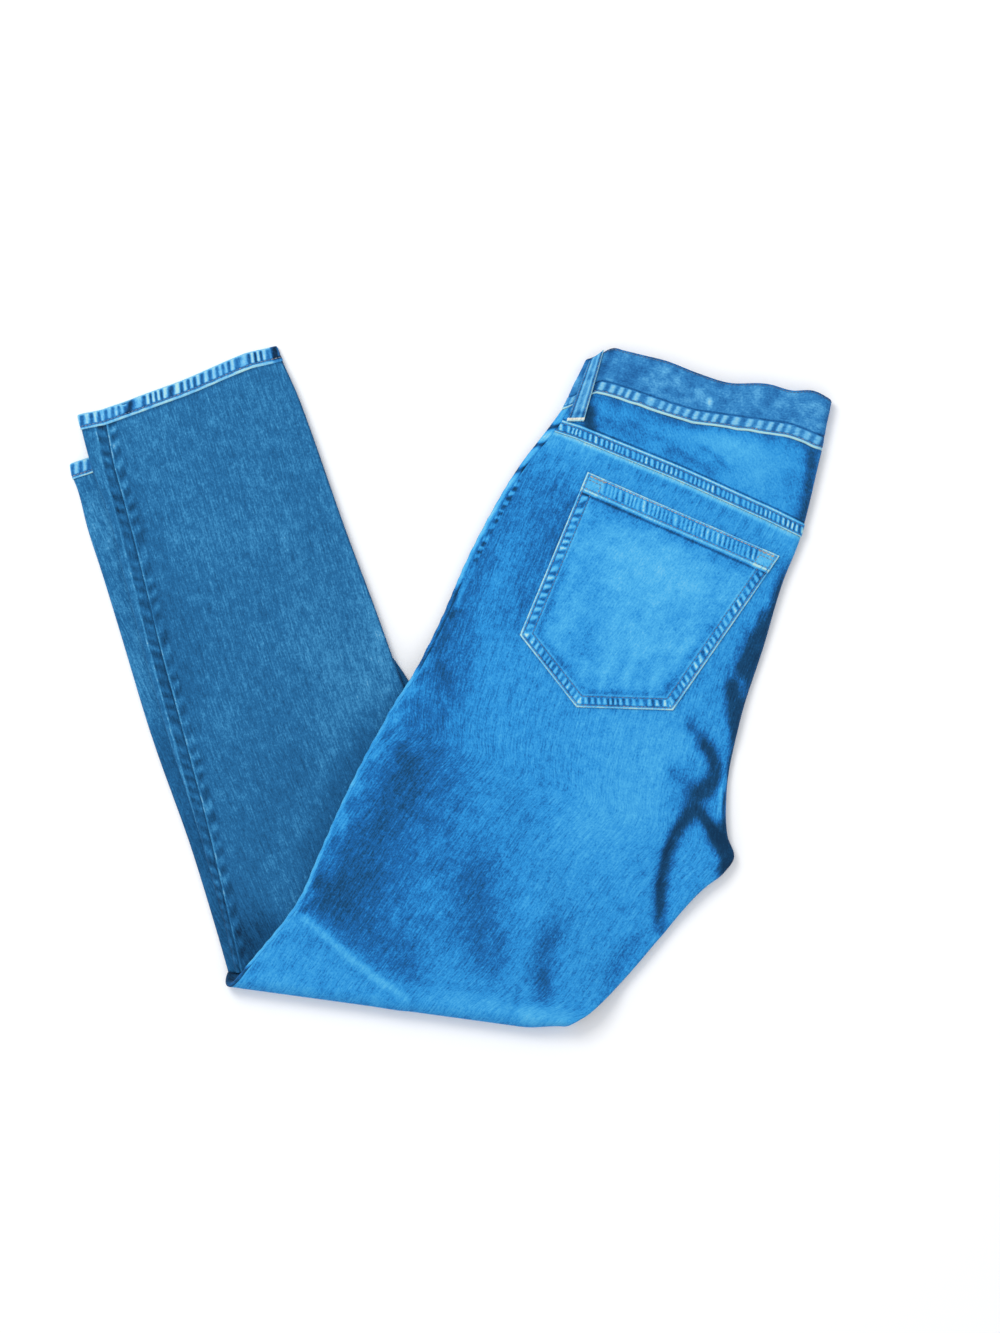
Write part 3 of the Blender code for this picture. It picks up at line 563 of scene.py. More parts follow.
# For each cloth piece: the node that it replaces, its slot, and the denim that it is cut from
cutFrom = {
    "back": ("back_right", "denim_back", "back"),
    "yoke": ("yoke_right", "denim_back", "yoke"),
    "front": ("front_right", "denim_inner", "back"),
    "innerLeg": ("inner_layers", "denim_inner", "inner"),
    "calfBack": ("calf_back_left", "denim_calf", "calf"),
    "calfFront": ("calf_front_left", "denim_calf", "calf"),
    "underLeg": ("calf_right", "denim_calf", "calf"),
    "upperHem": ("hem_left", "denim_bands", "bands"),
    "underHem": ("hem_right", "denim_bands", "bands"),
    "foldedBand": ("waistband", "denim_bands", "bands"),
    "pocket": ("back_pocket_right", "denim_pocket", "pocket"),
    "beltLoop": ("belt_loop", "denim_bands", "bands"),
}


def clothPiece(name, points, relief, fade, thick=pile["cloth"], closed=False, turn=0.0):
    # A thin shell: the grid moved out by its relief, with cloth coordinates from the unmoved grid
    nodeName, slot, cloth = cutFrom[name]
    rows, columns = points.shape[:2]
    flat = np.zeros((rows, columns))
    known = fieldsOf(points, closed)
    moved = points + known["normal"] * (relief + flat)[..., None]
    moved[..., 2] = np.maximum(moved[..., 2], 0.02)  # nothing sinks into the floor
    across, along = known["fromLeft"], known["fromTop"]
    across = across - across[:, columns // 2][:, None]
    c, s = math.cos(math.radians(turn)), math.sin(math.radians(turn))
    uv = np.stack([across * c - along * s, across * s + along * c], -1)
    piece = meshOf(name, moved, quadsOf(rows, columns, closed), denims[cloth], fade + flat, uv)
    shell = piece.modifiers.new("Thickness", "SOLIDIFY")
    shell.thickness = thick * mm
    shell.offset = -1.0
    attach(piece, "root")
    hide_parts(nodeName)
    return moved, known["normal"]


stitch = {
    "long": 2.9,
    "pitch": 3.5,
    "radius": 0.42,
    "bow": 0.25,  # how far the middle stands off the cloth
    "lift": 0.05,
    "flattened": 0.8,
    "reach": 0.8,  # how far ahead and behind a thread looks for its direction
    "stray": 0.06,  # how unevenly the threads lie, and how their tones differ
    "toneSpread": 0.09,
    "shares": (-1.0, -0.78, -0.3, 0.3, 0.78, 1.0),
    "sides": 6,  # the faces that close a thread's ends are laid out for six
}


def stitches(name, paths):
    # Short bowed threads end to end along each path; a path is (points, normals, width, tone).
    # Each thread is a tube whose radius is R * sqrt(1 - |u|^3) along u from -1 to 1
    threads = []
    for number, (points, normals, size, tone) in enumerate(paths):
        marks = runOf(points)
        count = max(1, int(marks[-1] / (stitch["pitch"] * min(size, 1))))
        middle = (np.arange(count) + 0.5) * marks[-1] / count
        ahead = readAlong(marks, points, np.minimum(middle + stitch["reach"], marks[-1]))
        behind = readAlong(marks, points, np.maximum(middle - stitch["reach"], 0))
        rng = np.random.default_rng(len(name) * 100 + number)
        forward = ahead - behind + rng.normal(0, stitch["stray"], ahead.shape)
        tones = np.clip(tone + rng.normal(0, stitch["toneSpread"], count), 0, 1)
        at, up = readAlong(marks, points, middle), readAlong(marks, normals, middle)
        threads.append(np.column_stack([at, forward, up, np.full(count, size), tones]))
    threads = np.concatenate(threads)
    centre, forward, up = (threads[:, None, None, i:i + 3] for i in (0, 3, 6))
    size = threads[:, None, None, 9]
    forward = forward / np.linalg.norm(forward, axis=-1, keepdims=True)
    side = np.cross(up, forward)
    side /= np.linalg.norm(side, axis=-1, keepdims=True)
    up = np.cross(forward, side)
    u = np.array(stitch["shares"])[None, :, None]
    angle = (np.arange(stitch["sides"]) * 2 * math.pi / stitch["sides"])[None, None]
    radius = stitch["radius"] * size * np.sqrt(np.maximum(1 - np.abs(u) ** 3, 0.02))
    lift = stitch["bow"] * size * (1 - u * u) + stitch["lift"]
    points = centre + forward * (stitch["long"] / 2 * np.minimum(size, 1) * u + 0 * angle)[..., None]
    points = points + side * (radius * np.cos(angle))[..., None]
    points = points + up * (radius * np.sin(angle) * stitch["flattened"] + lift)[..., None]
    count, rings, sides = points.shape[:3]
    caps = np.array([[0, 1, 2, 3], [0, 3, 4, 5], [3, 2, 1, 0], [5, 4, 3, 0]])
    caps[2:] += (rings - 1) * sides
    one = np.concatenate([quadsOf(rings, sides, True)[:, ::-1], caps])
    quads = (one[None] + (np.arange(count) * rings * sides)[:, None, None]).reshape(-1, 4)
    piece = meshOf(name, points, quads, thread, np.repeat(threads[:, 10], rings * sides))
    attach(piece, "root")


def linear(code):
    # An sRGB hex code as the linear colour that the shaders take
    part = np.array([int(code[i:i + 2], 16) for i in (1, 3, 5)]) / 255
    part = np.where(part <= 0.04045, part / 12.92, ((part + 0.055) / 1.055) ** 2.4)
    return (*part.tolist(), 1.0)


def node(tree, kind, inputs=(), **settings):
    # Adds a node; an input is given a value, or a link when it is given a socket
    made = tree.nodes.new(kind)
    for name, value in settings.items():
        setattr(made, name, value)
    for name, value in dict(inputs).items():
        if isinstance(value, bpy.types.NodeSocket):
            tree.links.new(value, made.inputs[name])
        else:
            made.inputs[name].default_value = value
    return made


def ramp(tree, fac, stops):
    # A colour ramp from a dictionary of places and hex codes
    made = node(tree, "ShaderNodeValToRGB", {"Fac": fac})
    points = made.color_ramp.elements
    while len(points) < len(stops):
        points.new(0.5)
    for point, (at, code) in zip(points, stops.items()):
        point.position = at
        point.color = linear(code)
    return made.outputs["Color"]


def newMaterial(name):
    # A material with an empty node tree, and that tree
    made = bpy.data.materials.new(name)
    made.use_nodes = True
    made.node_tree.nodes.clear()
    return made, made.node_tree


def finishWith(tree, surface):
    # The surface's settings, as one Principled shader on the output
    shader = node(tree, "ShaderNodeBsdfPrincipled", surface)
    node(tree, "ShaderNodeOutputMaterial", {"Surface": shader.outputs[0]})


def denim(name, stops, *amounts):
    # Ring-spun cotton twill, warp dyed with indigo and weft left white, stonewashed: the worn
    # places go from navy to near white, in streaks along the warp where the yarn is uneven
    made, tree = newMaterial(name)
    uv = node(tree, "ShaderNodeUVMap", uv_map="cloth").outputs["UV"]
    spot = node(tree, "ShaderNodeTexCoord").outputs["Object"]
    # The fade attribute is the wear together with painted shade in folds, on rolled edges and beside raised
    # seams, and painted highlights on fold ridges
    wear = node(tree, "ShaderNodeAttribute", attribute_name="fade").outputs["Fac"]

    def noise(vector, across, along, detail=2.0, rough=0.6):
        # Noise whose features are across x along millimetres
        scale = (1 / (across * mm), 1 / (along * mm), 1 / (across * mm))
        scaled = node(tree, "ShaderNodeMapping", {"Vector": vector, "Scale": scale}).outputs[0]
        settings = {"Vector": scaled, "Scale": 1.0, "Detail": detail, "Roughness": rough}
        return node(tree, "ShaderNodeTexNoise", settings).outputs["Fac"]

    def add(a, b, factor, base=0.5):
        # a + (b - base) * factor
        moved = node(tree, "ShaderNodeMath", {0: b, 1: base}, operation="SUBTRACT").outputs[0]
        return node(tree, "ShaderNodeMath", {0: moved, 1: factor, 2: a}, operation="MULTIPLY_ADD").outputs[0]

    streak = noise(uv, 2.8, 55.0)  # faint lines down the leg from the washing
    slub = noise(uv, 1.3, 16.0)  # uneven warp yarns: long pale and dark streaks
    yarn = noise(uv, 1.1, 4.5)  # short broken streaks, coarser than the true 0.4 mm yarns to show
    grain = noise(uv, 1.4, 1.7)  # weft showing between the warp: salt and pepper, coarser too
    blotch = noise(spot, 9.0, 9.0, 4.0, 0.7)  # cloudy wear from the tumbling
    level = add(0.5, wear, 0.5, 0.0)
    for pattern, amount in zip((streak, slub, yarn, grain, blotch), amounts):
        level = add(level, pattern, amount)
    height = add(add(0.0, yarn, 0.5), grain, 0.9)
    bump = node(tree, "ShaderNodeBump", {"Strength": 0.45, "Distance": 0.0005, "Height": height})
    finishWith(tree, {
        "Base Color": ramp(tree, level, stops),
        "Roughness": 0.9,
        "IOR": 1.45,
        "Specular IOR Level": 0.15,
        "Sheen Weight": 0.03,
        "Sheen Roughness": 0.5,
        "Normal": bump.outputs[0],
    })
    return made


def threadOf(name, stops):
    # Spun polyester topstitching thread, tan where it is sheltered and bleached where it is worn
    made, tree = newMaterial(name)
    tone = node(tree, "ShaderNodeAttribute", attribute_name="fade").outputs["Fac"]
    colour = ramp(tree, tone, stops)
    finishWith(tree, {"Base Color": colour, "Roughness": 0.6, "IOR": 1.5, "Sheen Weight": 0.1})
    return made


def plain(name, code, rough):
    # An even finish of one colour, matt as uncoated paper is
    made, tree = newMaterial(name)
    finishWith(tree, {"Base Color": linear(code), "Roughness": rough, "IOR": 1.45})
    return made


print("mixing the indigo")
seatDye = {
    0.0: "#08304f", 0.2: "#11446b", 0.36: "#1862a2", 0.5: "#288acb",
    0.7: "#49a8da", 0.86: "#66b7dc", 1.0: "#b0d6d2",
}
calfDye = {0.0: "#06253f", 0.2: "#0f4267", 0.36: "#195480", 0.5: "#206393", 0.7: "#3e8ab8", 1.0: "#a8ced2"}
bandDye = {0.0: "#07243d", 0.2: "#10446f", 0.36: "#1e609a", 0.5: "#317db6", 0.7: "#5fabd6", 1.0: "#a6d0cf"}
# The left leg inside is seen only in shade at the fork: its dye is a darker copy of the denim, painted shade
innerShadedDye = {0.0: "#051c30", 0.2: "#0d3a5c", 0.36: "#17486c", 0.5: "#22597f", 0.7: "#4487ad", 1.0: "#a9cfe0"}
denims = {}
for cloth, *mix in (  # the dye, then how much there is of streak, slub, yarn, grain and blotch
    ("back", seatDye, 0.16, 0.34, 0.28, 0.36, 0.29),
    ("yoke", seatDye, 0.08, 0.14, 0.24, 0.34, 0.28),
    ("pocket", seatDye, 0.10, 0.22, 0.30, 0.42, 0.38),
    ("calf", calfDye, 0.20, 0.44, 0.36, 0.42, 0.36),
    ("bands", bandDye, 0.0, 0.12, 0.22, 0.34, 0.32),
    ("inner", innerShadedDye, 0.1, 0.3, 0.3, 0.4, 0.3),
):
    denims[cloth] = denim("denim " + cloth, *mix)
thread = threadOf("thread", {0.0: "#35597c", 0.35: "#58789a", 0.62: "#a3998a", 1.0: "#dfe4d6"})

thighAt = alongOf(thighSections)
upperAt = alongOf(upperCalfSections)
underAt = alongOf(underCalfSections)


def onTopOf(points):
    # 1 on the upper face of the thighs and 0 on their rolled edges and underside
    xy = points[..., :2]
    share = (points[..., 2] - thighFloor(xy)) / thighThickness(xy)
    return ease(share, 0.45, 0.8)


# In the dictionaries below, rows are (distance, spacing to the next). A rope is the (low, high,
# pitch, slant, seed, crispness) of its puckers, and lines are (distance, width, amount).
print("laying the back of the right leg")
back = {
    "rows": ((thighAt["yokeSeam"] + 0.1, 1.8), (thighAt["knee"], 1.0)),
    "hipRope": (0.4, 5.4, 8.0, 0.3, 31),
    "hipWear": (0.2, 4.8, 7.6, 0.3, 31),
    "legRope": (1.5, 9.0, 26.0, 0.2, 33, 0.6),
    "legWear": (1.5, 8.0, 30.0, 0.2, 33, 0.6),
    "topLines": ((0.5, 2.0, 0.75), (6, 8, 0.14)),
    # the painted shade of the strokes goes no darker than this
    "darkestShade": -0.74,
}
grid = thighLayer(back["rows"], ("main", (0, 0.004), (0.05, 0.0075), (1, 1)), ("right", (0, 12), (180, 1)))
grid = roundTheKnee(grid, 40)
xy, top, field = grid[..., :2], onTopOf(grid), fieldsOf(grid)
seam, s = field["fromLeft"], field["fromTop"]
relief = rippleAt(xy) * top + 0.35 * line(seam, 0.8, 1.1) * ease(s, 200, 140)
relief += 0.32 * puckers(s, seam, *back["hipRope"]) * ease(s, 150, 120) * ease(s, 45, 60)
relief += 0.25 * puckers(s, seam, *back["legRope"]) * ease(s, 120, 160)
# Painted shade and highlights of the folds, with worn places, on the upper face, then more painted shade at
# the fork
fade = np.maximum(strokesAt(xy, seatShadeAndWear, False), back["darkestShade"]) * top
fade += strokesAt(xy, crotchPaintedShade, False) * top
# Painted shade on the rolled right edge, from the yoke down to the upper thigh
fade -= 0.55 * ease(top, 0.9, 0) * ease(s, 315, 305) * ease(seam, 20, 30)
fade += 0.20 * line(seam, 0.4, 0.8) * ease(s, 20, 50)
fade += 0.62 * puckers(s, seam, *back["hipWear"]) * ease(s, 128, 113) * ease(s, 44, 54)
fade += 0.45 * line(seam, 3.0, 1.5) * line(s, 150, 14) - 0.6 * line(seam, 2.5, 2.5) * line(s, 168, 5)
fade -= 0.20 * puckers(s, seam, *back["legWear"]) * ease(s, 110, 140)
clothPiece("back", grid, relief, fade + lines(s, back["topLines"]))

print("laying the yoke")
yoke = {
    "rows": ((0.0, 1.3), (thighAt["yokeSeam"] - 13, 0.55), (thighAt["yokeSeam"], 1)),
    "wide": 10.4,  # of the felled seam
    "fellLift": 0.8,
    "rope": (2.2, 8.4, 4.1, 0.35, 41),
    "grooves": ((1.9, 0.6, -0.3), (8.7, 0.6, -0.3)),
    # the last line is a painted shadow beside the raised felled seam
    "lines": ((0.4, 0.8, 1.05), (2.0, 0.7, -0.35), (8.6, 0.8, -0.30), (10.4, 0.8, 1.05), (11.9, 0.8, -0.60)),
    "sewn": ((1.9, 0.20), (8.7, 0.24)),  # distance of each row of stitches, and its tone
}
grid = thighLayer(yoke["rows"], ("main", (0, 0.0045), (1, 1)), ("right", (0, 15), (180, 1)))
xy, top, field = grid[..., :2], onTopOf(grid), fieldsOf(grid)
s, d = field["fromLeft"], field["fromBottom"]
bars = puckers(s, d, *yoke["rope"])
relief = yoke["fellLift"] * ease(d, yoke["wide"] + 0.7, yoke["wide"] - 0.3) + roundedEdge(d, 1.0, 0.6)
relief += 0.28 * bars + lines(d, yoke["grooves"]) + rippleAt(xy) * top * ease(d, 9, 17)
# Painted shade and highlights of the folds on the upper face, and painted shade on the rolled right edge
fade = strokesAt(xy, seatShadeAndWear, False) * top * ease(d, 6, 14) - 0.5 * ease(top, 0.9, 0)
fade += lumps(bars, 1.15, 0.50) + lines(d, yoke["lines"])
# Slightly darker away from the seam, and a painted shadow along the top, under the waistband
fade -= 0.10 * ease(d, 11, 15) + 0.22 * line(field["fromTop"], 0, 6)
fade += (0.05 + 0.09 * cloud(xy, 11.0, 43)) * ease(d, 10, 14)
face = clothPiece("yoke", grid, relief, fade, turn=35.0)
paths = []
for distance, tone in yoke["sewn"]:
    here, up = lineOn(*face, d, distance)
    paths.append((here[:-6], up[:-6], 0.8, tone))
stitches("yokeStitches", paths)

print("laying the front beside the outseam")
front = {
    "rows": ((0.0, 1.8), (thighAt["knee"], 1)),
    "rope": (-1, 7, 13.0, 0.2, 52, 0.8),
    "hipSpots": ((17, 2.5, 0.9), (35, 2.5, 0.9), (60, 3.5, 0.9)),
}
grid = thighLayer(front["rows"], ("left", (180, 12), (0, 1)), ("strip", (0, 0.12), (1, 1)))
grid = roundTheKnee(grid, 24)
field = fieldsOf(grid)
d, s = field["fromRight"], field["fromTop"]
spots = lines(s, front["hipSpots"])
# The strip is lighter near the outseam; beyond 12 mm from it, under the rolled left edge, the darkening is
# painted shade
fade = 0.32 * line(d, 3.2, 2.2) - 0.20 * line(d, 0.4, 0.8) * ease(s, 230, 170)
fade += 0.25 * line(d, 3.6, 2.0) * line(s, 100, 45) - 0.5 * ease(d, 9, 12) + 0.15 * wander(s, 9.0, 51)
fade -= spots - 0.4 * line(s, 26, 5) + 0.55 * ease(s, 158, 168) * ease(s, 246, 232)
# Painted shade round the knee fold
fade -= 0.9 * ease(s, thighAt["knee"] - 2, thighAt["knee"] + 6)
relief = 0.3 * puckers(s, d, *front["rope"]) - 0.6 * spots * ease(d, 8, 4)
clothPiece("front", grid, relief, fade)

print("laying the left leg inside")
inner = {
    "rows": ((0.0, 3.0), (thighAt["knee"], 1)),
    # painted shade over the whole inside leg, and more of it at the knee fold
    "dark": (-0.1, -0.6),  # at the waist, and added at the knee
}
grid = thighLayer(
    inner["rows"], ("lowLeft", (180, 12), (0, 1)), ("low", (0, 0.03), (1, 1)), ("lowRight", (0, 12), (180, 1))
)
grid = roundTheKnee(grid[:, ::-1], 24)
toKnee = ease(fieldsOf(grid)["fromTop"], thighAt["knee"] - 12, thighAt["knee"] - 2)
clothPiece("innerLeg", grid, 0.0, inner["dark"][0] + inner["dark"][1] * toKnee)

print("laying the lower legs")
calf = {
    "start": 12.0,  # the cloth starts this far below the hem's edge
    "rows": ((12.0, 1.2), (40.0, 2.2), (upperAt["knee"], 1)),
    "underRows": ((12.0, 3.0), (underAt["knee"], 1)),
    # where the painted shadow along the hem's raised edge lies
    "hemShade": 13.6,
    "rope": (2.0, 11.0, 24.0, 0.4, 63, 0.5),
    "wear": (1.6, 8.5, 15.0, 0.5, 65, 0.8),
    "frontRope": (0.8, 7.5, 11.0, 0.4, 71, 0.7),
    "frontWear": (0.5, 8.0, 11.0, 0.5, 72, 0.9),
}
columns = columnsOf(("main", (0, 0.004), (0.08, 0.011), (1, 1)), ("right", (0, 15), (90, 1)))
grid = calfLayer(upperCalfSections, calf["rows"], columns, pile["underCalf"])
xy, field = grid[..., :2], fieldsOf(grid)
seam, s, edge = field["fromLeft"], field["fromTop"] + calf["start"], field["fromRight"]
relief = 0.25 * cloud(xy, 38.0, 61) + lines(seam, ((0.9, 0.9, 0.5), (3.2, 1.4, -0.25)))
relief += 0.30 * puckers(s, seam, *calf["rope"])
fade = strokesAt(xy, calfShadeAndWear, False) + 0.06 * cloud(xy, 30.0, 62)
fade += (0.50 + 0.22 * wander(s, 7.0, 66)) * line(seam, 0.8, 0.75)
fade += 0.42 * puckers(s, seam, *calf["wear"]) - 0.12 * ease(seam, 13, 9)
# Painted shade on the last of the rolled right edge, and the painted shadow along the hem
fade -= 0.45 * ease(edge, 3, 1) + 0.30 * line(s, calf["hemShade"], 1.6)
clothPiece("calfBack", grid, relief, fade)

# Round the underside: from the right edge leftwards, and up the left edge to the outseam
columns = columnsOf(
    ("lowRight", (90, 15), (0, 1)),
    ("low", (1, 0.04), (0, 1)),
    ("lowLeft", (0, 15), (90, 1)),
    ("left", (90, 15), (0, 1)),
    ("strip", (0, 0.05), (1, 1)),
)
grid = calfLayer(upperCalfSections, calf["rows"], columns, pile["underCalf"])
xy, field = grid[..., :2], fieldsOf(grid)
d, s = field["fromRight"], field["fromTop"] + calf["start"]
relief = 0.35 * ease(d, 8.4, 7.4) + 0.2 * puckers(s, d, *calf["frontRope"]) - 0.3 * line(d, 0.3, 0.7)
fade = -0.30 * ease(d, 8.6, 7.4) + lines(d, ((0.4, 0.8, -0.3), (8.9, 0.7, 0.30)))
fade += 0.32 * puckers(s, d, *calf["frontWear"]) + 0.08 * cloud(xy, 14.0, 73)
# The painted shadow along the hem
fade -= 0.35 * line(s, calf["hemShade"], 1.8)
clothPiece("calfFront", grid, relief, fade)

ring = columnsOf(
    ("left", (90, 15), (0, 1)),
    ("strip", (0, 0.1), (1, 1)),
    ("main", (0, 0.0055), (1, 1)),
    ("right", (0, 15), (90, 1)),
    ("lowRight", (90, 15), (0, 1)),
    ("low", (1, 0.03), (0, 1)),
    ("lowLeft", (0, 15), (90, 1)),
    closed=True,
)
grid = calfLayer(underCalfSections, calf["underRows"], ring[::2], 0.0)
s = fieldsOf(grid, True)["fromTop"]
# Darker beyond 250 mm from the hem: painted shade where the leg runs in under the others, with a little
# random tone
clothPiece("underLeg", grid, 0.0, 0.05 - 0.3 * ease(s, 190, 250) + 0.10 * wander(s, 21.0, 75), closed=True)

print("turning up the hems")
hem = {
    "deep": 13.0,
    "spacing": 0.6,
    "proud": 0.8,  # how far it stands out from the leg
    "thick": 2.3,
    "sewn": 10.3,
    "frayed": 11.4,  # the pale raw edge starts here
    "rope": (0.6, 9.8, 6.4, 0.15),  # each hem has a seed of its own
    "dent": (42, 4.5, 2.6),  # where the bulky end of the outseam dents the edge, its width and depth
    # the dark place beside the dent is painted shade, and so is the dark end at the inseam, in the fold
    "paintedHemShade": (46, 2.6, 1.2),  # the dark place beside it
    "inseam": ((164.5, 166.5), (180, 176)),  # and where the dark end at the inseam comes and goes
}
paths = []
for side, table, liesOn, seed in (
    ("upper", upperCalfSections, pile["underCalf"], 81),
    ("under", underCalfSections, 0.0, 87),
):
    grid = calfLayer(table, ((0.0, hem["spacing"]), (hem["deep"], 1)), ring, liesOn, -hem["proud"])
    field = fieldsOf(grid, True)
    s, d = field["fromLeft"], field["fromTop"]
    bars = puckers(s, d, *hem["rope"], seed, 0.9) * (0.8 + 0.5 * wander(s, 11.0, seed + 2))
    relief = 0.35 * bars - 0.35 * line(d, hem["sewn"], 0.6)
    relief += roundedEdge(d, 1.2, 0.6) + roundedEdge(hem["deep"] - d, 0.8, 0.5)
    frayed = hem["frayed"] + 0.45 * wander(s, 5.0, seed + 4)
    fade = 0.08 + lumps(bars, 1.0, 0.78) + lines(d, ((0.3, 1.2, 0.45), (10.2, 0.8, -0.5)))
    fade += (0.62 + 0.25 * wander(s, 6.0, seed + 5)) * smooth((d - frayed) / 0.5)
    if side == "upper":
        # The dent at the outseam, with painted shade beside it and at the inseam end
        grid[..., 1] -= lines(s, (hem["dent"],)) * ease(d, 9, 1)
        comes, goes = (ease(s, *span) for span in hem["inseam"])
        paintedHemShade = lines(s + 0.3 * d, (hem["paintedHemShade"],)) + 1.1 * comes * goes
        fade -= paintedHemShade * (0.35 + 0.65 * ease(d, hem["frayed"], hem["frayed"] - 0.8))
    face = clothPiece(side + "Hem", grid, relief, fade, thick=hem["thick"], closed=True)
    here, up = lineOn(*face, d, hem["sewn"])
    shown = slice(3, int(np.argmax(ring[:, 4] < 0)) - 2)
    paths.append((here[shown], up[shown], 0.85, 0.35))
stitches("hemStitches", paths)

print("folding the waistband in four")
band = {
    "levels": (1.2, 4.73, 8.27, 11.8),  # middle of each layer
    "wide": 199.0,
    "wall": 2.4,
    "tuck": 4.0,  # the inner fold stops this far short of the outer one
    "ends": ((108, 260), (304, 228)),  # of the top edge
    "across": (0.00, 0.05, 0.095, 0.15, 0.22, 0.31, 0.45, 0.57, 0.74, 0.83, 0.92, 1.00),
    "rise": (0.0, 6.5, 12.6, 12.2, 11.2, 9.8, 4.0, 0.5, 4.5, 2.5, 5.0, 0.0),
    "down": ((0.0, 0.025), (0.68, 0.014), (1.0, 1)),  # shares of the depth, and their spacing
    "rope": (2.8, 10.6, 8.2, 0.1, 91, 1.4),
    "grooves": ((2.9, 0.6, -0.35), (11.3, 1.0, -0.45)),
    "lines": ((2.9, 0.7, -0.45), (11.3, 0.9, -0.55)),
    "wornSpot": (205.6, 226.8, 2.6, 4.0),
    # Stitches: the edge that they follow, distance from it, width and tone
    "sewn": (("fromBottom", 2.9, 0.9, 0.34), ("fromTop", 1.6, 0.8, 0.12)),
    "shown": slice(8, 257),  # the columns of the top layer
}


def waistPoint(share, down):
    # From the band's top edge to its seam, straight down at each share of its width
    ends = np.array(band["ends"], float)
    run = ends[1] - ends[0]
    up = np.array([-run[1], run[0]]) / np.linalg.norm(run)
    rise = curveThrough(band["across"], band["rise"], np.clip(share, 0, 1))
    top = ends[0] + run * share[..., None] + up * rise[..., None]
    section = sectionAt(thighSections, 0.0)
    seam = place(section, share * widthOf(section))
    return top * (1 - down[..., None]) + seam * down[..., None]


def bandPath():
    # The folded loop seen end on, as (share of the width, height): top layer rightwards, down
    # round the centre back, bottom layer leftwards, up at one side, in to the centre front, and
    # back out to the other side
    low, second, third, high = band["levels"]

    def run(a, b, z):
        # A level layer from share a to share b
        shares = np.linspace(a, b, 250 if z == high else 50)
        return np.stack([shares, np.full(len(shares), z)], -1)

    def turn(share, low, high, rightwards, downwards):
        # A half circle from one layer to another
        angle = np.linspace(0, math.pi, 15 if high - low > 6 else 9)[1:-1]
        radius = (high - low) / 2
        bulge = radius * np.sin(angle) / band["wide"] * (1 if rightwards else -1)
        lift = radius * np.cos(angle) * (1 if downwards else -1)
        return np.stack([share + bulge, (high + low) / 2 + lift], -1)

    left = (band["wall"] / 2 + (second - low) / 2) / band["wide"]
    right = 1 - (band["wall"] / 2 + (high - low) / 2) / band["wide"]
    inner = right - band["tuck"] / band["wide"]
    return np.concatenate([
        run(left, right, high),
        turn(right, low, high, True, True),
        run(right, left, low),
        turn(left, low, second, False, False),
        run(left, inner, second),
        turn(inner, second, third, True, False),
        run(inner, left, third),
        turn(left, third, high, False, False),
    ])


share, height = bandPath().T
share, down = np.broadcast_arrays(share, spaced(*band["down"])[:, None])
xy = waistPoint(share, down)
grid = np.concatenate([xy, np.broadcast_to(height[:, None], xy.shape[:2] + (1,))], -1)
field = fieldsOf(grid, True)
s, d, top = field["fromLeft"], field["fromBottom"], field["fromTop"]
grid[..., 1] += 0.4 * wander(s, 9.0, 96) * ease(d, 7, 1) * (s < 210)
squares = puckers(s, d, *band["rope"])
relief = band["wall"] / 2 + roundedEdge(d, 0.8, 0.5) + roundedEdge(top, 1.6, 0.8) + 0.35 * squares
relief += lines(d, band["grooves"]) + 0.30 * cloud(xy, 10.0, 93) * ease(d, 12, 17)
fade = (0.9 + 0.15 * wander(s, 5.0, 97)) * ease(d, 2.1, 1.6) + lines(d, band["lines"]) + 0.10 + 0.45 * squares
fade += 0.12 * ease(d, 11, 10) - 0.12 * ease(d, 12, 14) - 0.3 * ease(top, 1.6, 1)
fade += (0.20 * cloud(xy, 9.0, 94) + 0.12 * cloud(xy, 4.0, 95)) * ease(d, 11, 14)
# A worn spot, a painted shadow of the belt loop just right of it, and painted shade where the band turns down
# at its right end
fade += 0.8 * spotAt(xy, *band["wornSpot"]) - 0.35 * line(share, 0.10, 0.02) - 0.25 * ease(share, 0.95, 0.99)
face = clothPiece("foldedBand", grid, relief, fade, thick=band["wall"], closed=True, turn=90.0)
paths = []
for edge, distance, size, tone in band["sewn"]:
    here, up = lineOn(*face, field[edge], distance)
    paths.append((here[band["shown"]], up[band["shown"]], size, tone))
stitches("waistStitches", paths)

print("sewing on the pocket")
pocket = {
    "corners": ((109, 171), (54.8, 41), (100, -16.5), (177, -19), (262, 104)),  # anticlockwise
    "pitches": (7.4, 5.2, 5.2, 6.0, 4.0),  # of the puckers along each side; the last is the top
    "slants": (0.5, 0.3, 0.1, -0.5, 0.2),
    "wedges": (0.6, 0.3, 0.3, 0.4),  # how much the gaps widen towards the inner row
    "thick": 1.3,
    "lift": 1.5,
    "sewn": (2.0, 9.0),  # how far in from the sides its two rows of stitches lie
    "hem": 15.0,
    "hemRows": (1.8, 12.8),  # and those of its hem, down from the top
    # the last top line is a painted shadow below the hem's raised edge
    "topLines": ((2.0, 0.6, -0.30), (12.6, 0.6, -0.35), (14.3, 0.9, 0.62), (17.0, 1.1, -0.55)),
    "palest": (160, 78, 62, 62),
    "across": ((0.0, 0.0045), (0.1, 0.0062), (0.9, 0.0045), (1.0, 1)),
    "down": ((0.0, 0.0042), (0.12, 0.0058), (0.9, 0.0042), (1.0, 1)),
}
corners = np.array(pocket["corners"], float)
sideRuns = np.roll(corners, -1, 0) - corners
sideRuns /= np.linalg.norm(sideRuns, axis=1, keepdims=True)


def pocketSides(xy):
    # For each side: the distance in from it and the distance along it
    apart = xy[..., None, :] - corners
    inward = apart[..., 1] * sideRuns[:, 0] - apart[..., 0] * sideRuns[:, 1]
    return inward, (apart * sideRuns).sum(-1)


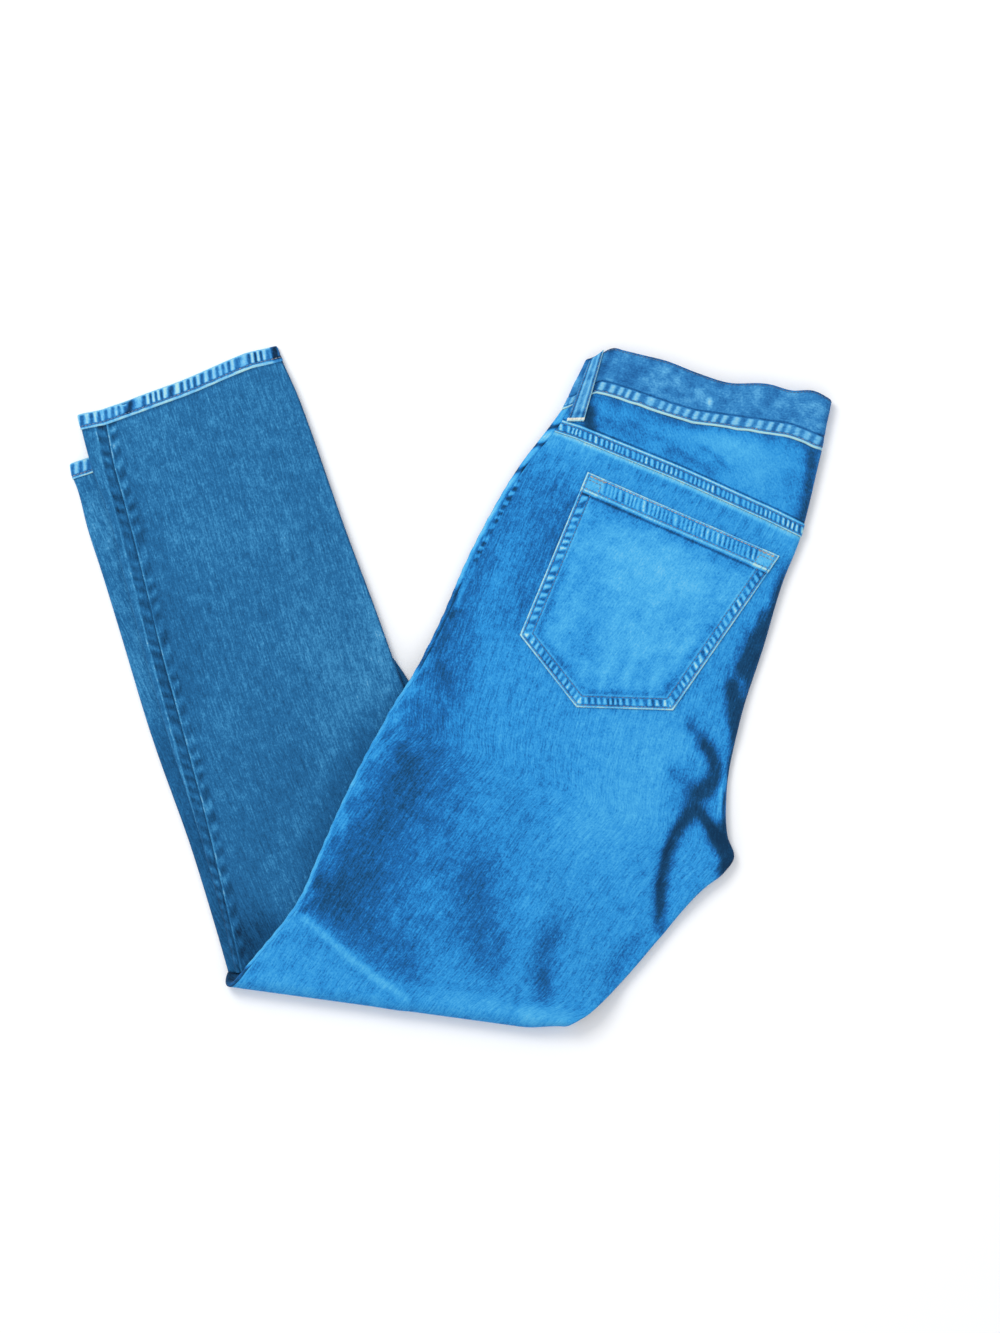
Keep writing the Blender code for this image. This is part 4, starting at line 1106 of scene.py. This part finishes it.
def pocketForm(xy):
    # Height over the seat, and the pocket's wear with painted shade: lapped edges, roped seams and a thicker
    # hem
    inward, onward = pocketSides(xy)
    top = inward[..., 4]
    d = inward[..., :4].min(-1)
    nearest = inward[..., :4].argmin(-1)
    hem = pocket["hem"]
    belowHem = ease(top, hem + 1, hem + 2.5)
    roped = 0.0
    for i in range(4):
        own = pocket["pitches"][i], pocket["slants"][i], 101 + 5 * i, 1.5, pocket["wedges"][i]
        roped = roped + puckers(onward[..., i], inward[..., i], 2.6, 8.4, *own) * (nearest == i)
    roped = roped * belowHem
    box = ease(d, 15, 14) * (1 - belowHem)
    hemBars = puckers(onward[..., 4], top, 2.6, 11.8, pocket["pitches"][4], pocket["slants"][4], 131, 1.1)
    hemBars = hemBars * (1 - box) * ease(d, 1, 2)
    low, high = pocket["sewn"]
    height = pocket["lift"] + roundedEdge(np.minimum(d, top), 1.0, 0.7) + 0.35 * roped + 0.30 * hemBars
    height += 0.75 * ease(top, hem + 0.6, hem - 0.3) + 0.25 * ease(d, high + 1, high - 0.2)
    height -= 0.25 * line(d, low, 0.6) + 0.25 * line(d, high, 0.7) * belowHem
    height -= lines(top, [(at, 0.6, 0.25) for at in pocket["hemRows"]])
    seams = lines(d, ((high, 0.5, -0.30), (high + 1.2, 0.6, 0.28))) - 0.08 * ease(d, high, high - 1)
    wearAndShade = 0.88 * ease(d, 1.5, 1) - 0.36 * line(d, 2.3, 0.7) + lumps(roped, 0.80, 0.46) + belowHem * seams
    wearAndShade += 0.70 * ease(top, 1.2, 0.7) + lumps(hemBars, 0.72, 0.50) + 0.35 * box
    wearAndShade += lines(top, pocket["topLines"]) - 0.22 * ease(top, 32, 18) * belowHem
    wearAndShade += 0.06 + 0.28 * spotAt(xy, *pocket["palest"])
    wearAndShade += 0.10 * cloud(xy, 16.0, 141) + 0.07 * cloud(xy, 6.0, 142)
    wearAndShade += strokesAt(xy, pocketShades, False) * belowHem * ease(d, 9, 11)
    # The mitred corners are worn where two seams meet
    mitres = 0.0
    for i in (1, 2, 3):
        mitres = mitres + line(inward[..., i - 1], inward[..., i], 2.4) * (np.abs(onward[..., i]) < 14)
    wearAndShade += 0.5 * belowHem * ease(d, 9, 8) * mitres - 0.20 * line(d, 12.5, 3.5) * ease(top, 60, 80)
    return height, wearAndShade


def pocketPoint(xy):
    # On the seat, at the pocket's height over it
    z = thighTop(xy) + rippleAt(xy) + pocketForm(xy)[0]
    return np.concatenate([xy, z[..., None]], -1)


def alongLines(points, share):
    # Places at shares of the length of the line through the points
    marks = runOf(points)
    return readAlong(marks, points, share * marks[-1])


def insetCorner(i, d, e):
    # Where the line at distance d in from side i - 1 meets the line at distance e in from side i
    before, after = sideRuns[i - 1], sideRuns[i]
    a = corners[i] + d * np.array([-before[1], before[0]])
    b = corners[i] + e * np.array([-after[1], after[0]])
    cross = before[0] * after[1] - before[1] * after[0]
    gap = b - a
    return a + before * ((gap[0] * after[1] - gap[1] * after[0]) / cross)


def topCorner(right, down, along):
    # A place in the pocket's left or right top corner, down from the top and in from the side
    return insetCorner(4, along, down) if right else insetCorner(0, down, along)


def roundRow(d, down):
    # The places of a row of stitches at distance d in from the sides, from one top corner to the other
    return [topCorner(False, down, d), *(insetCorner(i, d, d) for i in (1, 2, 3)), topCorner(True, down, d)]


def pocketPath(places, size, tone):
    # A run of stitches along straight lines over the pocket
    count = max(2, int(runOf(places)[-1] / stitch["reach"]))
    points = pocketPoint(alongLines(places, np.linspace(0, 1, count)))
    return points, np.broadcast_to((0.0, 0.0, 1.0), points.shape), size, tone


down = spaced(*pocket["down"])[:, None, None]
topEdge = alongLines(corners[[0, 4]], spaced(*pocket["across"]))
lowEdge = alongLines(corners[[1, 2, 3]], spaced(*pocket["across"]))
xy = topEdge * (1 - down) + lowEdge * down
clothPiece("pocket", pocketPoint(xy), 0.0, pocketForm(xy)[1], thick=pocket["thick"], turn=-8.0)
outerRow, innerRow = pocket["sewn"]
hemTop, hemLow = pocket["hemRows"]
paths = [
    pocketPath(roundRow(outerRow, hemTop), 0.8, 0.32),
    pocketPath(roundRow(innerRow, hemLow + 3), 0.8, 0.22),
    pocketPath([topCorner(right, hemTop, 3) for right in (False, True)], 0.85, 0.62),
    pocketPath([topCorner(right, hemLow, 3) for right in (False, True)], 0.8, 0.35),
]
for right in (False, True):  # a box and a bar tack, as places (down, in), width and tone
    for places, size, tone in (
        (((5.5, 3), (5.5, 14), (12, 14)), 0.8, 0.45),
        (((2.6, 3), (2.6, 17)), 1.15, 0.55),
    ):
        paths.append(pocketPath([topCorner(right, *at) for at in places], size, tone))
stitches("pocketStitches", paths)

print("bowing the belt loop")
loop = {
    "corners": ((110, 259), (122, 268), (92, 211), (106, 211)),  # top left and right, low left and right
    "grid": (81, 27),
    "wide": 14.0,
    "thick": 1.6,
    "foot": 14.4,  # height of its ends
    "arch": 1.9,
    "ribs": (4.2, 1.2),  # distance in from each edge, and width
    "seams": (3, 23),  # the grid's columns that are sewn
}
corners = np.array(loop["corners"], float)
v, u = np.meshgrid(*(np.linspace(0, 1, count) for count in loop["grid"]), indexing="ij")
across, down = u[..., None], v[..., None]
xy = (corners[0] * (1 - across) + corners[1] * across) * (1 - down)
xy = xy + (corners[2] * (1 - across) + corners[3] * across) * down
d = np.minimum(u, 1 - u) * loop["wide"]
ribs = line(d, *loop["ribs"])
z = loop["foot"] + loop["arch"] * np.sin(math.pi * v) ** 0.5 + 0.35 * ribs + roundedEdge(d, 1.5, 0.9)
z -= 0.8 * line(v, 0.955, 0.012)
fade = 0.08 + 0.40 * ribs - 0.4 * line(d, 2.2, 0.8) + 0.85 * ease(u, 0.91, 0.96)
fade += 0.16 * cloud(np.stack([v * 50, u * 14], -1), 4.0, 151) - 0.3 * line(v, 0.88, 0.04)
fade += 0.9 * ease(v, 0.965, 0.985)
points, normals = clothPiece("beltLoop", np.dstack([xy, z]), 0.0, fade, thick=loop["thick"])
paths = [(points[2:-6, column], normals[2:-6, column], 0.7, 0.2) for column in loop["seams"]]
for column in range(1, 26):  # a bar of close stitches across the loop
    paths.append((points[-6:-1, column], normals[-6:-1, column], 0.9, 0.95))
stitches("loopStitches", paths)

print("setting up the table, light and camera")
studio = {
    "floorHalf": 3.0,  # metres here, as for the rest of the studio
    "floorZ": -0.0005,
    "paper": "#fafaf8",
    "sky": ("#f7f9ff", 0.9),
    "softbox": (-0.9, 1.2, 1.9),
    "boxSize": 1.0,
    "boxPower": 26,
    "eye": (0.0392, 0.016, 2.5),
    "frameTall": 1.0664,  # how much of the floor the photo's height takes in
    "sensor": 36,
}
half, floorZ = studio["floorHalf"], studio["floorZ"]
outline = [(x * half, y * half, floorZ) for x, y in ((-1, -1), (1, -1), (1, 1), (-1, 1))]
floorMesh = bpy.data.meshes.new("floor")
floorMesh.from_pydata(outline, [], [(0, 1, 2, 3)])
floor = bpy.data.objects.new("floor", floorMesh)
floorMesh.materials.append(plain("pale paper", studio["paper"], 0.9))
scene.collection.objects.link(floor)

world = bpy.data.worlds.new("studio")
world.use_nodes = True
background = world.node_tree.nodes["Background"].inputs
background["Color"].default_value = linear(studio["sky"][0])
background["Strength"].default_value = studio["sky"][1]
scene.world = world

# A square soft box that faces the jeans
light = bpy.data.lights.new("softbox", "AREA")
light.size = studio["boxSize"]
light.energy = studio["boxPower"]
softbox = bpy.data.objects.new("softbox", light)
softbox.location = studio["softbox"]
x, y, z = studio["softbox"]
softbox.rotation_euler = (math.atan2(math.hypot(x, y), z), 0, math.atan2(x, -y))
scene.collection.objects.link(softbox)
scene.view_settings.view_transform = "Standard"
scene.view_settings.look = "None"

camera = bpy.data.cameras.new("camera")
cameraObject = bpy.data.objects.new("camera", camera)
cameraObject.location = studio["eye"]
camera.sensor_fit = "VERTICAL"
camera.sensor_height = studio["sensor"]
camera.lens = studio["sensor"] * studio["eye"][2] / studio["frameTall"]
scene.collection.objects.link(cameraObject)
scene.camera = cameraObject
